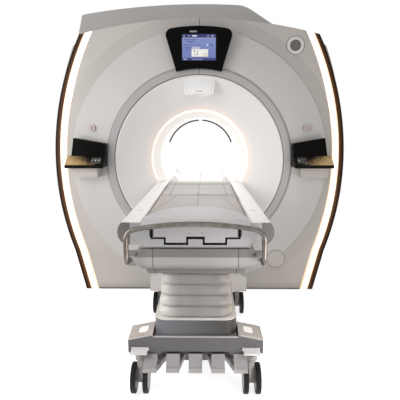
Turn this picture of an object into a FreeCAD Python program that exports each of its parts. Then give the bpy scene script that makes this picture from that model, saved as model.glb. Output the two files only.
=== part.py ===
import FreeCAD, Part
import math
import os
import Sketcher

# A bore scanner for medical imaging, in millimetres.  +X is to the right of someone who faces
# the bore, +Y runs into the bore and +Z is up.  The origin is on the floor, under the middle
# of the machine's outer box.

Vector = FreeCAD.Vector
BELLOWS_FOLDS = 4

# Every driving dimension: name, value and what it measures.
SIZES = [
    # overall
    ("isoHeight", 1070, "bore axis above the floor"),
    ("gantryDepth", 1700, "ring plane to the rear of the magnet housing"),
    ("tableReach", 1500, "ring plane to the front of the foot pedals"),
    ("floorGap", 12, "covers above the floor"),
    ("fitGap", 0.3, "gap between pieces that are mounted close to each other"),
    ("runningGap", 0.05, "radial clearance of a shaft in its hole"),
    # outline of the front face
    ("crownRadius", 3660, "radius of the front cover's top edge"),
    ("cornerHalf", 911, "half width at the top corners"),
    ("sideRadius", 2169, "radius of the barrel sides"),
    ("lowHalf", 1015, "half width where the barrel sides turn straight"),
    ("footHalf", 934, "half width at the bottom"),
    ("bulgeRadius", 2344, "radius of the side covers"),
    ("bulgeHalf", 983, "half width of the side covers at their shoulder"),
    ("trimWidth", 41, "brown edge trim, seen from the front"),
    ("stripWidth", 61, "light strip, seen from the front"),
    ("seamGap", 0.6, "seam between the strips and covers"),
    ("coverWall", 20, "wall of the large moulded covers"),
    ("faceStep", 30, "ring plane to the flat of the front cover"),
    ("rimStep", 60, "ring plane to the rim of the front cover"),
    ("rimStart", 1000, "radius where the front cover starts to fall back"),
    ("rimEnd", 1100, "radius where the front cover is flat again"),
    ("trimSkirt", 130, "ring plane to the rear edge of the edge trim"),
    ("stripProud", 2, "light strip above the cover"),
    # face disc and ring
    ("discRadius", 992, "raised face disc"),
    ("discInner", 4, "ring plane to the disc's face at the ring"),
    ("discOuter", 20, "ring plane to the disc's face at its edge"),
    ("ringOuter", 720, "outer radius of the bore ring"),
    ("ringInner", 655, "inner radius of the bore ring"),
    ("ringProud", 8, "bore ring in front of the ring plane"),
    ("coverHole", 690, "hole in the front cover behind the ring"),
    # bore
    ("boreRadius", 350, "patient bore"),
    ("throatRadius", 415, "front flare at the light ring"),
    ("lipRadius", 645, "front flare at its lip"),
    ("flareCurve", 1500, "radius of the flare's curve"),
    ("flareDepth", 380, "ring plane to the light ring"),
    ("throatDepth", 500, "ring plane to the straight bore"),
    ("rearFlare", 450, "length of the rear flare"),
    ("rearMouth", 560, "radius of the rear flare at the rear face"),
    ("flareWall", 10, "wall of the flares"),
    ("linerWall", 8, "wall of the bore liner"),
    ("glowLength", 20, "depth of the light ring"),
    ("glowStep", 17, "how far the light ring narrows the bore"),
    ("glowWall", 12, "wall of the light ring"),
    ("seamStrip", 16, "width of the dark strips near the bore's rear end"),
    ("seamDepth", 3, "depth of the groove that holds them"),
    ("seamProud", 13, "how far they stand into the bore"),
    ("seamInset", 12, "groove in front of the end of the straight bore"),
    # magnet
    ("vesselOuter", 950, "outer radius of the magnet vessel"),
    ("vesselInner", 470, "warm bore of the magnet vessel"),
    ("vesselFront", 400, "ring plane to the magnet vessel"),
    ("vesselRear", 240, "rear of the magnet vessel to the rear of the housing"),
    ("vesselChamfer", 60, "chamfer of the vessel's ends"),
    ("coilInner", 386, "inner radius of the gradient coil"),
    ("coilFront", 445, "ring plane to the gradient coil"),
    ("coilRear", 400, "rear of the gradient coil to the rear of the housing"),
    ("radioFront", 520, "ring plane to the body coil"),
    ("radioRear", 570, "rear of the body coil to the rear of the housing"),
    ("footSpacingX", 1000, "magnet feet, side to side"),
    ("footSpacingY", 760, "magnet feet, front to rear"),
    ("footPlateX", 380, "foot plate width"),
    ("footPlateY", 260, "foot plate depth"),
    ("footPlateZ", 20, "foot plate thickness"),
    ("footPillarX", 180, "foot pillar width"),
    ("footPillarY", 200, "foot pillar depth"),
    ("anchorInset", 40, "anchor hole to the foot plate's outer edge"),
    ("anchorRadius", 9, "anchor hole"),
    ("headX", -250, "cold head, sideways from the middle"),
    ("headY", 30, "cold head in front of the vessel's middle"),
    ("headRadius", 70, "cold head cylinder"),
    ("headFlange", 110, "cold head flange"),
    ("headTop", 89, "top of the cold head above the crown of the front cover"),
    ("headHole", 130, "opening in the roof round the cold head"),
    # turret cover on the roof
    ("turretLeft", 928, "left side of the turret cover"),
    ("turretShoulder", 179, "its left shoulder above the front cover's top corners"),
    ("turretRound", 26, "rounding of its left shoulder"),
    ("turretTop", 158, "where its top ends on the right, above the crown"),
    ("turretFlat", 290, "how far its top reaches to the right"),
    ("turretCurve", 4600, "radius of its top"),
    ("turretRight", 613, "where its right slope meets the roof"),
    ("turretShoulderCurve", 190, "rounding of its right shoulder"),
    ("turretShoulderX", 401, "end of that rounding"),
    ("turretShoulderZ", 121, "end of that rounding above the crown"),
    ("turretFront", 105, "ring plane to the foot of its front slope"),
    ("turretBrow", 300, "ring plane to the top of its front slope"),
    ("turretRear", 200, "its rear to the rear of the housing"),
    # display and laser housing
    ("displayHalfTop", 243, "half width at its upper corners"),
    ("displayHalfFoot", 168, "half width at its foot"),
    ("displayCurve", 1240, "radius of its top edge"),
    ("displayRound", 40, "rounding of its upper corners"),
    ("displayFace", 62, "its face in front of the ring plane"),
    ("screenHalf", 125, "half width of the screen"),
    ("screenInset", 4, "depth of the screen's pocket"),
    ("laserHalfTop", 133, "half width of the laser housing at the ring"),
    ("laserHalfFoot", 110, "half width at its foot"),
    ("laserDrop", 137, "bottom of the laser housing under the flare's lip"),
    ("laserArch", 55, "half width of the arch in its foot"),
    ("laserArchRise", 5, "height of that arch"),
    # consoles and stop buttons
    ("consoleInner", 711, "inner end of the side consoles"),
    ("consoleOuter", 970, "outer end of the side consoles"),
    ("hoodTaper", 22, "how much the hood narrows to its outer top corner"),
    ("consoleFront", 80, "hood's face in front of the ring plane"),
    ("keypadFront", 165, "keypad's lip in front of the ring plane"),
    ("keypadThick", 20, "thickness of that lip"),
    ("keypadOverhang", 30, "keypad beyond the hood's outer end"),
    ("bracketInner", 770, "inner side of the console bracket"),
    ("bracketFront", 110, "console bracket in front of the ring plane"),
    ("stopX", 822, "stop buttons, from the middle"),
    ("stopRadius", 25, "stop button"),
    ("stopTravel", 3, "travel of a stop button"),
    ("stopFace", 3, "stop button's face in front of the ring plane"),
    ("portX", 618, "round access port, from the middle"),
    ("portRadius", 73, "round access port"),
    ("portFace", 12, "ring plane to its face"),
    ("badgeX", 729, "blank badge, from the middle"),
    ("badgeRadius", 68, "blank badge"),
    ("badgeProud", 5, "blank badge above the cover"),
    # docked end of the table and the bridge through the bore
    ("railHalf", 356, "half width of the table over its side rails"),
    ("railInner", 262, "inner side of the side rails"),
    ("railCurve", 66, "radius of the rail's outer side"),
    ("railFootHalf", 336, "half width at the rails' bottom"),
    ("railFront", 1350, "rails in front of the ring plane"),
    ("capThick", 8, "rail end cap"),
    ("dockEnd", 262, "ring plane to the docked end of the table"),
    ("dockGap", 13, "docked table to the bridge"),
    ("wellHalf", 386, "half width of the docking recess"),
    ("wellStart", 32, "ring plane to the front of the docking recess"),
    ("wellWall", 8, "wall of the docking recess"),
    ("channelFloorHalf", 226, "half width of the channel's floor"),
    ("bridgeEnd", 60, "rear end of the bridge to the rear of the housing"),
    # table top
    ("deckFront", 1385, "deck in front of the ring plane"),
    ("ridgeInner", 205, "inner side of the glide ridges"),
    ("ridgeOuter", 245, "outer side of the glide ridges"),
    ("trayHalf", 294, "half width of the tray"),
    ("trayKeelHalf", 250, "half width of the tray's flat bottom"),
    ("trayKeelRise", 27, "height of the tray's lower bevel"),
    ("trayNeck", 261, "half width of the recessed band"),
    ("trayFront", 1400, "tray in front of the ring plane"),
    ("trayRear", 60, "rear end of the tray in front of the ring plane"),
    ("trayWall", 8, "wall of the tray"),
    ("shroudHalf", 249, "half width of the lift shroud under the tray"),
    ("shroudKeel", 226, "half width of its underside"),
    ("shroudFront", 1365, "lift shroud in front of the ring plane"),
    ("shroudRear", 740, "rear of the lift shroud in front of the ring plane"),
    ("footFace", 1420, "foot face in front of the ring plane"),
    ("footCoverThick", 34, "thickness of the foot end cover"),
    ("footCoverHalf", 305, "half width of the foot end cover"),
    ("footCoverKeel", 243, "half width at its bottom"),
    ("lockHalf", 200, "half width of the cradle's end plate"),
    ("lockTabOuter", 138, "outer side of the tabs"),
    ("lockTabInner", 43, "inner side of the tabs"),
    ("lockGap", 9, "gap round the end plate"),
    ("handleHalf", 315, "half width of the handle, to the tube's centre"),
    ("handleFront", 1470, "handle in front of the ring plane, to its centre"),
    ("handleRadius", 12, "handle tube"),
    ("handleCurve", 1470, "radius of the handle's arched bar"),
    ("handleCorner", 50, "corner radius of the handle"),
    ("handleElbow", 34, "elbow radius at the handle's feet"),
    ("earDepth", 55, "handle ear, front to rear"),
    ("earHeight", 62, "height of the handle ear"),
    ("earOuter", 336, "outer side of the handle ears"),
    ("earStep", 15, "handle ear behind the tray's front"),
    # cradle
    ("cradleHalf", 259, "half width of the cradle"),
    ("cradleKeel", 220, "half width of the cradle's underside"),
    ("cradleBevel", 10, "straight side of the cradle board"),
    ("endPlateThick", 34.3, "thickness of the cradle's end plate"),
    ("wedgeRear", 1000, "rear of the foot wedge in front of the ring plane"),
    ("archFoot", 1330, "where its arched end starts, in front of the ring plane"),
    ("archWaist", 1101, "where the arch turns tighter"),
    ("archHalf", 181, "half width there"),
    ("archSide", 463, "radius of the arch's sides"),
    ("archTop", 211, "radius of the arch's middle"),
    ("wedgeMiddle", 1320, "crest of the foot wedge in front of the ring plane"),
    ("padHalf", 254, "half width of the pads"),
    ("padFront", 1200, "front of the first pad, beside the wedge"),
    ("padSeamOne", 526, "first pad seam in front of the ring plane"),
    ("padSeamTwo", 46, "ring plane to the second pad seam"),
    ("padSeam", 6, "gap between pads"),
    ("padRound", 9, "rounding of the pads' upper edges"),
    ("padCorner", 24, "rounding of the pads' corners"),
    # lift
    ("columnY", 1060, "lift column in front of the ring plane"),
    ("columnOuter", 150, "width of the outer lift column"),
    ("columnWall", 6, "wall of the outer lift column"),
    ("columnInnerWall", 8, "wall of the inner lift column"),
    ("columnHigh", 400, "top of the outer lift column"),
    ("columnLow", 324, "bottom of the inner lift column"),
    ("collarHalf", 200, "half width of the base collar"),
    ("collarFront", 1410, "collar in front of the ring plane"),
    ("collarRear", 700, "rear of the collar in front of the ring plane"),
    ("collarFoot", 332, "bottom of the collar"),
    ("collarTop", 410, "top of the collar"),
    ("collarRound", 60, "corner radius of the collar"),
    ("collarWall", 10, "wall of the collar"),
    ("bellowsHalf", 173, "half width of the bellows at a fold's crest"),
    ("bellowsFront", 1380, "bellows in front of the ring plane"),
    ("bellowsRear", 745, "rear of the bellows in front of the ring plane"),
    ("bellowsRound", 62, "corner radius of the bellows"),
    ("bellowsDepth", 16, "depth of a fold"),
    ("bellowsWall", 4, "wall of the bellows"),
    # base
    ("spineHalf", 150, "half width of the base's spine"),
    ("spineFoot", 95, "bottom of the spine"),
    ("spineTop", 150, "top of the spine"),
    ("spineFront", 1220, "spine in front of the ring plane"),
    ("beamFoot", 250, "bottom of the caster beams"),
    ("beamTop", 285, "top of the caster beams"),
    ("frontBeamFront", 1370, "front beam in front of the ring plane"),
    ("frontBeamRear", 1294, "rear of the front beam in front of the ring plane"),
    ("riserRear", 1190, "rear of the riser in front of the ring plane"),
    ("rearBeamFront", 400, "rear beam in front of the ring plane"),
    ("rearBeamRear", 305, "rear of the rear beam in front of the ring plane"),
    ("rearBeamHalf", 300, "half width of the rear beam"),
    ("baseHalf", 325, "half width of the front base cover"),
    ("baseFront", 1420, "front base cover in front of the ring plane"),
    ("wingRear", 1285, "rear of its wings in front of the ring plane"),
    ("wingLow", 322, "outer height of the wings"),
    ("wingHigh", 346, "inner height of the wings"),
    ("wingInner", 206, "inner side of the wings"),
    ("wingFoot", 250, "bottom of the wings"),
    ("coverSkin", 8, "wall of the base covers"),
    ("bumperThick", 8, "thickness of the front bumper"),
    ("bumperShoulder", 317, "bumper's height at its ends"),
    ("bumperLow", 218, "lowest points of the bumper"),
    ("bumperArch", 245, "bumper's edge above the pedals"),
    ("bumperArchHalf", 160, "half width of that edge"),
    ("bumperLowX", 215, "lowest points of the bumper, from the middle"),
    ("housingRear", 430, "rear of the spine cover in front of the ring plane"),
    ("housingFoot", 165, "bottom of the spine cover"),
    ("rearBlockHalf", 341, "half width of the rear caster cover"),
    ("rearBlockRear", 275, "rear of the rear caster cover"),
    ("rearBlockFoot", 178, "bottom of the rear caster cover"),
    ("rearBlockTop", 308, "top of the rear caster cover"),
    ("rearBlockCrown", 281, "half width of its top"),
    ("rearBlockSlope", 26, "drop of its sloping shoulders"),
    # casters
    ("casterX", 280, "casters from the middle"),
    ("frontCasterY", 1320, "front swivels in front of the ring plane"),
    ("rearCasterY", 350, "rear swivels in front of the ring plane"),
    ("casterTrail", 34, "wheel axle in front of the swivel"),
    ("wheelRadius", 76, "caster wheel"),
    ("wheelInner", 18, "inner side of a wheel, from the caster's middle"),
    ("wheelOuter", 43, "outer side of a wheel, from the caster's middle"),
    ("wheelRound", 5, "rounding of a wheel"),
    ("axleRadius", 7, "caster axle"),
    ("forkHalf", 16, "half width of the caster's fork"),
    ("forkBoss", 24, "boss of the fork round the axle"),
    ("forkTop", 160, "top of the fork"),
    ("capRadius", 30, "swivel cap"),
    ("capTop", 186, "top of the swivel cap"),
    ("stemRadius", 12, "caster stem"),
    ("stemDepth", 20, "stem inside the beam"),
    # pedals and brake bar
    ("shaftY", 1250, "pedal shaft in front of the ring plane"),
    ("shaftZ", 190, "pedal shaft above the floor"),
    ("shaftRadius", 10, "pedal shaft"),
    ("lugX", 178, "pedal shaft's lugs, from the middle"),
    ("lugThick", 10, "thickness of a lug"),
    ("hubRadius", 18, "hub of a pedal"),
    ("hubWidth", 44, "width of a pedal's hub"),
    ("hubPitch", 66, "pitch of the pedal hubs"),
    ("pedalPitch", 107.5, "pitch of the pedal pads"),
    ("pedalWidth", 64, "width of a pedal pad"),
    ("pedalRun", 62, "length of a pedal pad along Y"),
    ("pedalRise", 61, "rise of a pedal pad"),
    ("pedalLow", 190, "height of a pad's front edge"),
    ("pedalThick", 12, "thickness of a pedal pad"),
    ("armLow", 179, "underside of the pedal arms"),
    ("armHigh", 206, "top of the pedal arms"),
    ("armEnd", 1488, "pedal arms in front of the ring plane"),
    ("armWidth", 56, "width of a pedal arm at its pad"),
    ("brakeY", 1398, "brake shaft in front of the ring plane"),
    ("brakeZ", 271, "brake shaft above the floor"),
    ("brakeRadius", 8, "brake shaft"),
    ("leverInner", 229, "inner side of the brake levers"),
    ("leverOuter", 307, "outer side of the brake levers"),
    ("leverFront", 1484, "brake levers in front of the ring plane"),
    ("leverThick", 10, "thickness of a brake lever"),
    ("leverSlot", 9, "room round a brake lever in the bumper"),
    ("brakeLugX", 190, "brake shaft's lugs, from the middle"),
]

# Heights on the housing and the table top, measured from the bore axis: minus is below it.
HEIGHTS = [
    ("crownHeight", 1071, "top of the front cover"),
    ("lowHeight", -727, "where the barrel sides turn straight"),
    ("bulgeHeight", 880, "shoulder of the side covers"),
    ("displayShoulder", 960, "upper corners of the display housing"),
    ("displayFoot", 669, "bottom corners of the display housing"),
    ("screenLow", 746, "bottom of the screen"),
    ("screenHigh", 933, "top of the screen"),
    ("consoleMiddle", 47, "seam between the consoles' hood and keypad"),
    ("hoodHighOuter", 182, "top of the hoods at the outer end"),
    ("hoodHighInner", 141, "top of the hoods at the inner end"),
    ("keypadLip", -20, "lip of the keypads"),
    ("bracketFoot", -115, "bottom of the console bracket"),
    ("bracketTop", -35, "top of the console bracket"),
    ("stopZ", 257, "stop buttons' middle"),
    ("portZ", -784, "round access port's middle"),
    ("badgeZ", 874, "blank badge's middle"),
    ("railTop", -195, "table top"),
    ("railFoot", -302, "bottom of the side rails"),
    ("wellFloor", -525, "floor of the docking recess"),
    ("wellTop", -110, "top of the docking recess"),
    ("bridgeFoot", -305, "underside of the bridge"),
    ("bridgeFloor", -259, "floor of the bridge's channel"),
    ("channelKnee", -220, "where the bridge channel's sides turn upright"),
    ("deckFoot", -312, "underside of the table deck"),
    ("deckTop", -295, "top of the table deck"),
    ("glideTop", -258.5, "top of the glide ridges"),
    ("trayFoot", -407, "underside of the tray"),
    ("trayShoulder", -354, "shoulder between the tray and its recess"),
    ("shroudFoot", -443, "underside of the lift shroud"),
    ("footCoverBelt", -232, "widest point of the foot end cover"),
    ("footCoverFoot", -295, "bottom of the foot end cover"),
    ("footCoverTop", -210.5, "top of the foot end cover"),
    ("lockFoot", -250, "bottom of the cradle's end plate"),
    ("lockTabFoot", -278, "bottom of the end plate's two tabs"),
    ("handleShoulder", -202, "where the handle's corners end"),
    ("handleFoot", -368, "the handle's feet"),
    ("cradleFoot", -258, "underside of the cradle"),
    ("cradleTop", -210, "top of the cradle board"),
    ("wedgeFrontTop", -202, "foot wedge at its front"),
    ("wedgeMiddleTop", -184, "foot wedge at its crest"),
    ("wedgeRearTop", -178, "foot wedge at its rear"),
    ("padTop", -185, "top of the pads"),
]


class Size:
    """A number that also carries the sheet expression it comes from."""

    def __init__(self, value, text):
        self.value = float(value)
        self.text = text

    def __add__(self, other):
        return joined(self, "+", other)

    def __radd__(self, other):
        return joined(other, "+", self)

    def __sub__(self, other):
        return joined(self, "-", other)

    def __rsub__(self, other):
        return joined(other, "-", self)

    def __mul__(self, other):
        return joined(self, "*", other)

    def __rmul__(self, other):
        return joined(other, "*", self)

    def __truediv__(self, other):
        return joined(self, "/", other)

    def __neg__(self):
        return joined(0, "-", self)


def number(item):
    return item.value if isinstance(item, Size) else float(item)


def written(item):
    return item.text if isinstance(item, Size) else repr(float(item))


def joined(left, sign, right):
    """Combine two sizes, as a number and as an expression."""
    a, b = number(left), number(right)
    value = {"+": lambda: a + b, "-": lambda: a - b, "*": lambda: a * b, "/": lambda: a / b}[sign]()
    return Size(value, "(%s %s %s)" % (written(left), sign, written(right)))


def root(item):
    return Size(math.sqrt(number(item)), "sqrt(%s)" % written(item))


def slope_angle(sine):
    return Size(math.degrees(math.asin(number(sine))), "asin(%s) / 1 deg" % written(sine))


document = FreeCAD.newDocument("Scanner")
sheet = document.addObject("Spreadsheet::Sheet", "Sizes")
size = {}
for row, (alias, value, note) in enumerate(SIZES + HEIGHTS, start=1):
    sheet.set("A%d" % row, alias)
    sheet.set("B%d" % row, str(value))
    sheet.setAlias("B%d" % row, alias)
    sheet.set("C%d" % row, note)
    size[alias] = Size(value, "Sizes." + alias)
for alias, _, _ in HEIGHTS:
    size[alias] = size["isoHeight"] + size[alias]
document.recompute()


class Names:
    """Lets the code write s.boreRadius for the size of that name."""

    def __getattr__(self, alias):
        return size[alias]


s = Names()
ringY = (s.tableReach - s.gantryDepth) / 2      # the ring plane, in the machine's own frame
throatEnd = s.gantryDepth - s.rearFlare
vesselLength = s.gantryDepth - s.vesselRear - s.vesselFront
vesselMiddle = s.vesselFront + vesselLength / 2
pieces = {}


def into(depth):
    """Y of a place that lies this far behind the ring plane."""
    return ringY + depth


def before(depth):
    """Y of a place that lies this far in front of the ring plane."""
    return ringY - depth


# ---- drawing helpers -------------------------------------------------------------------------

def bind(thing, prop, item):
    """Give a property its value and tie it to the sheet."""
    if isinstance(item, Size):
        thing.setExpression(prop, item.text)
    return number(item)


def move(thing, x=0, y=0, z=0, turn=None):
    """Place an object, with its position tied to the sheet."""
    thing.Placement = FreeCAD.Placement(Vector(number(x), number(y), number(z)), turn or FreeCAD.Rotation())
    for axis, item in (("x", x), ("y", y), ("z", z)):
        bind(thing, "Placement.Base." + axis, item)
    return thing


class arc:
    """An arc between two corners: turn 1 bulges outwards on a counter-clockwise outline."""

    def __init__(self, radius, turn=1):
        self.radius = radius
        self.turn = turn


def middle_of_arc(p, q, radius, turn):
    chord = math.dist(p, q)
    rise = radius - math.sqrt(max(radius * radius - chord * chord / 4, 0.0))
    across = ((q[1] - p[1]) / chord, -(q[0] - p[0]) / chord)
    return ((p[0] + q[0]) / 2 + turn * rise * across[0], (p[1] + q[1]) / 2 + turn * rise * across[1])


def draw_loop(sketch, path):
    """Draw one closed outline of corners, with an arc where the path names one."""
    corners = [item for item in path if not isinstance(item, arc)]
    bends = {}
    count = 0
    for item in path:
        if isinstance(item, arc):
            bends[count - 1] = item
        else:
            count += 1
    ends = []
    for index, corner in enumerate(corners):
        p = (number(corner[0]), number(corner[1]))
        following = corners[(index + 1) % len(corners)]
        q = (number(following[0]), number(following[1]))
        bend = bends.get(index)
        if bend is None:
            line = sketch.addGeometry(Part.LineSegment(Vector(p[0], p[1], 0), Vector(q[0], q[1], 0)))
            ends.append((line, 1, 2))
            continue
        via = middle_of_arc(p, q, number(bend.radius), bend.turn)
        first, last = (p, q) if bend.turn == 1 else (q, p)
        curve = Part.Arc(*(Vector(x, z, 0) for x, z in (first, via, last)))
        line = sketch.addGeometry(curve)
        ends.append((line, 1, 2) if bend.turn == 1 else (line, 2, 1))
        radius = sketch.addConstraint(Sketcher.Constraint("Radius", line, number(bend.radius)))
        bind(sketch, "Constraints[%d]" % radius, bend.radius)
    for index, corner in enumerate(corners):
        line, start, _ = ends[index]
        earlier, _, end = ends[index - 1]
        sketch.addConstraint(Sketcher.Constraint("Coincident", earlier, end, line, start))
        for kind, item in (("DistanceX", corner[0]), ("DistanceY", corner[1])):
            place = sketch.addConstraint(Sketcher.Constraint(kind, -1, 1, line, start, number(item)))
            bind(sketch, "Constraints[%d]" % place, item)


def draw_circle(sketch, x, y, radius):
    line = sketch.addGeometry(Part.Circle(Vector(number(x), number(y), 0), Vector(0, 0, 1), number(radius)))
    for kind, item in (("DistanceX", x), ("DistanceY", y)):
        place = sketch.addConstraint(Sketcher.Constraint(kind, -1, 1, line, 3, number(item)))
        bind(sketch, "Constraints[%d]" % place, item)
    place = sketch.addConstraint(Sketcher.Constraint("Radius", line, number(radius)))
    bind(sketch, "Constraints[%d]" % place, radius)


def new_body(name):
    body = document.addObject("PartDesign::Body", name)
    body.AllowCompound = True
    return body


def new_sketch(body, plane, loops):
    """A sketch on one of the body's own planes: XY, XZ or YZ."""
    sketch = body.newObject("Sketcher::SketchObject", body.Name + "_outline")
    origin = [item for item in body.Origin.OriginFeatures if item.Role == plane + "_Plane"][0]
    sketch.AttachmentSupport = (origin, "")
    sketch.MapMode = "FlatFace"
    for loop in loops:
        if isinstance(loop, tuple):
            draw_circle(sketch, *loop)
        else:
            draw_loop(sketch, loop)
    return sketch


def extrude(body, plane, loops, length, midplane=False, cut=False):
    """Pad or pocket an outline.  On XZ the length runs along +Y."""
    sketch = new_sketch(body, plane, loops)
    kind = "PartDesign::Pocket" if cut else "PartDesign::Pad"
    feature = body.newObject(kind, body.Name + ("_pocket" if cut else "_pad"))
    feature.Profile = sketch
    feature.Length = bind(feature, "Length", length)
    feature.Midplane = midplane
    feature.Reversed = (plane == "XZ") != cut
    sketch.Visibility = False
    return feature


def front_piece(name, loops, start, end):
    """A body drawn in the front view and extruded from one depth to another."""
    body = new_body(name)
    extrude(body, "XZ", loops, end - start)
    return move(body, 0, into(start), 0)


def turned_piece(name, loops, angle=360, turn=None):
    """A body turned about the bore axis, drawn as radius against depth."""
    body = new_body(name)
    sketch = new_sketch(body, "XY", loops)
    feature = body.newObject("PartDesign::Revolution", name + "_turned")
    feature.Profile = sketch
    feature.ReferenceAxis = (sketch, ["V_Axis"])
    feature.Angle = bind(feature, "Angle", angle)
    return move(body, 0, ringY, s.isoHeight, turn)


def block(name, x0, x1, y0, y1, z0, z1):
    box = document.addObject("Part::Box", name)
    box.Length = bind(box, "Length", x1 - x0)
    box.Width = bind(box, "Width", y1 - y0)
    box.Height = bind(box, "Height", z1 - z0)
    return move(box, x0, y0, z0)


TURNS = {"X": FreeCAD.Rotation(Vector(0, 1, 0), 90), "Y": FreeCAD.Rotation(Vector(1, 0, 0), -90),
         "Z": FreeCAD.Rotation()}


def rod(name, axis, radius, length, x, y, z):
    """A cylinder along +X, +Y or +Z that starts at the given place."""
    cylinder = document.addObject("Part::Cylinder", name)
    cylinder.Radius = bind(cylinder, "Radius", radius)
    cylinder.Height = bind(cylinder, "Height", length)
    return move(cylinder, x, y, z, TURNS[axis])


def fuse(name, things):
    joint = document.addObject("Part::MultiFuse", name)
    joint.Shapes = things
    joint.Refine = True
    return joint


def group(name, things):
    compound = document.addObject("Part::Compound", name)
    compound.Links = things
    return compound


def cut(name, base, tools):
    feature = document.addObject("Part::Cut", name)
    feature.Base = base
    feature.Tool = tools[0] if len(tools) == 1 else fuse(name + "_tools", tools)
    feature.Refine = True
    return feature


def common(name, first, second):
    feature = document.addObject("Part::Common", name)
    feature.Base = first
    feature.Tool = second
    feature.Refine = True
    return feature


def mirrored(name, thing):
    twin = document.addObject("Part::Mirroring", name)
    twin.Source = thing
    twin.Normal = Vector(1, 0, 0)
    return twin


def rectangle(x0, x1, z0, z1):
    return [(x0, z0), (x1, z0), (x1, z1), (x0, z1)]


def rounded(x0, x1, z0, z1, r):
    return [(x0 + r, z0), (x1 - r, z0), arc(r), (x1, z0 + r), (x1, z1 - r), arc(r), (x1 - r, z1),
            (x0 + r, z1), arc(r), (x0, z1 - r), (x0, z0 + r), arc(r)]


def keep(name, thing):
    """Name a finished sub-part, which also names its file."""
    thing.Label = name
    pieces[name] = thing
    return thing


# ---- outline of the front face ---------------------------------------------------------------

def crown_z(x, lower=0):
    """Height of the top edge at a distance from the middle."""
    radius = s.crownRadius - lower
    return s.crownHeight - s.crownRadius + root(radius * radius - x * x)


def outline(inset, lower=0):
    """The whole front face, drawn in from the sides and the top."""
    corner = s.cornerHalf - inset
    low = s.lowHalf - inset
    foot = s.footHalf - inset
    top = crown_z(corner, lower)
    return [(-foot, s.floorGap), (foot, s.floorGap), (low, s.lowHeight), arc(s.sideRadius), (corner, top),
            arc(s.crownRadius - lower), (-corner, top), arc(s.sideRadius), (-low, s.lowHeight)]


def side_band(outer, inner):
    """The band along the right side between two insets."""
    near, far = s.cornerHalf - inner, s.cornerHalf - outer
    return [(s.footHalf - inner, s.floorGap), (s.footHalf - outer, s.floorGap),
            (s.lowHalf - outer, s.lowHeight), arc(s.sideRadius), (far, crown_z(far)),
            arc(s.crownRadius), (near, crown_z(near)), arc(s.sideRadius, -1), (s.lowHalf - inner, s.lowHeight)]


def face_shell(name, start, lift=0):
    """The front cover's wall, turned about the bore: a flat, a gentle fall and a flat rim."""
    front, rim = s.faceStep - lift, s.rimStep - lift
    reach = s.rimEnd + s.rimEnd / 2
    wall = s.coverWall + lift
    return turned_piece(name, [[(start, front), (s.rimStart, front), (s.rimEnd, rim), (reach, rim),
                                (reach, rim + wall), (s.rimEnd, rim + wall), (s.rimStart, front + wall),
                                (start, front + wall)]])


def disc_tool(name):
    """Space behind the face disc's front, with a fitting gap, for trimming what is mounted on it."""
    front = s.discInner - s.fitGap
    rim = s.discOuter - s.fitGap
    reach = s.discRadius + s.fitGap
    return turned_piece(name, [[(s.ringOuter - s.fitGap, front), (reach, rim), (reach, s.rimStep * 2),
                                (s.ringOuter - s.fitGap, s.rimStep * 2)]])


def make_front_cover():
    lateral = s.trimWidth + s.stripWidth + 2 * s.seamGap
    sheetPrism = front_piece("front_prism", [outline(lateral)], 0, s.rimStep + 2 * s.coverWall)
    wall = common("front_wall", face_shell("front_shell", s.coverHole), sheetPrism)
    badge = rod("badge_boss", "Y", s.badgeRadius, s.badgeProud + s.coverWall / 2, s.badgeX,
                into(s.rimStep - s.badgeProud), s.badgeZ)
    keep("front_cover", fuse("front_cover", [wall, badge]))


def make_light_strips():
    start = s.trimWidth + s.seamGap
    band = side_band(start, start + s.stripWidth)
    prism = front_piece("strip_prism", [band], 0, s.rimStep + 2 * s.coverWall)
    right = common("strip_right", face_shell("strip_shell", s.coverHole, s.stripProud), prism)
    keep("light_strips", group("light_strips", [right, mirrored("strip_left", right)]))


def make_edge_trims():
    prism = front_piece("trim_prism", [side_band(0, s.trimWidth)], 0, s.rimStep + 2 * s.coverWall)
    face = common("trim_face", face_shell("trim_shell", s.coverHole), prism)
    skirt = front_piece("trim_skirt", [side_band(0, s.coverWall)], s.rimStep + s.coverWall / 2, s.trimSkirt)
    right = fuse("trim_right", [face, skirt])
    keep("edge_trims", group("edge_trims", [right, mirrored("trim_left", right)]))


def make_side_covers():
    wall, corner, low = s.coverWall, s.cornerHalf, s.lowHalf
    band = [(s.footHalf - wall, s.floorGap), (s.footHalf, s.floorGap), (low, s.lowHeight),
            arc(s.bulgeRadius), (s.bulgeHalf, s.bulgeHeight), (corner, crown_z(corner)), arc(s.crownRadius),
            (corner - wall, crown_z(corner - wall)), (s.bulgeHalf - wall, s.bulgeHeight - wall / 2),
            arc(s.bulgeRadius, -1), (low - wall, s.lowHeight)]
    right = front_piece("side_cover_right", [band], s.trimSkirt + s.seamGap,
                        s.gantryDepth - s.coverWall - s.seamGap)
    keep("side_cover_right", right)
    keep("side_cover_left", mirrored("side_cover_left", right))


def make_top_cover():
    half = s.cornerHalf - s.coverWall - s.seamGap
    low = crown_z(half, s.coverWall)
    loop = [(half, low), (half, crown_z(half)), arc(s.crownRadius), (-half, crown_z(half)), (-half, low),
            arc(s.crownRadius - s.coverWall, -1)]
    roof = front_piece("roof", [loop], s.rimStep + s.coverWall + s.seamGap,
                       s.gantryDepth - s.coverWall - s.seamGap)
    hole = rod("roof_hole", "Z", s.headHole, s.crownHeight, s.headX, into(vesselMiddle - s.headY), s.isoHeight)
    keep("top_cover", cut("top_cover", roof, [hole]))


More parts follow.
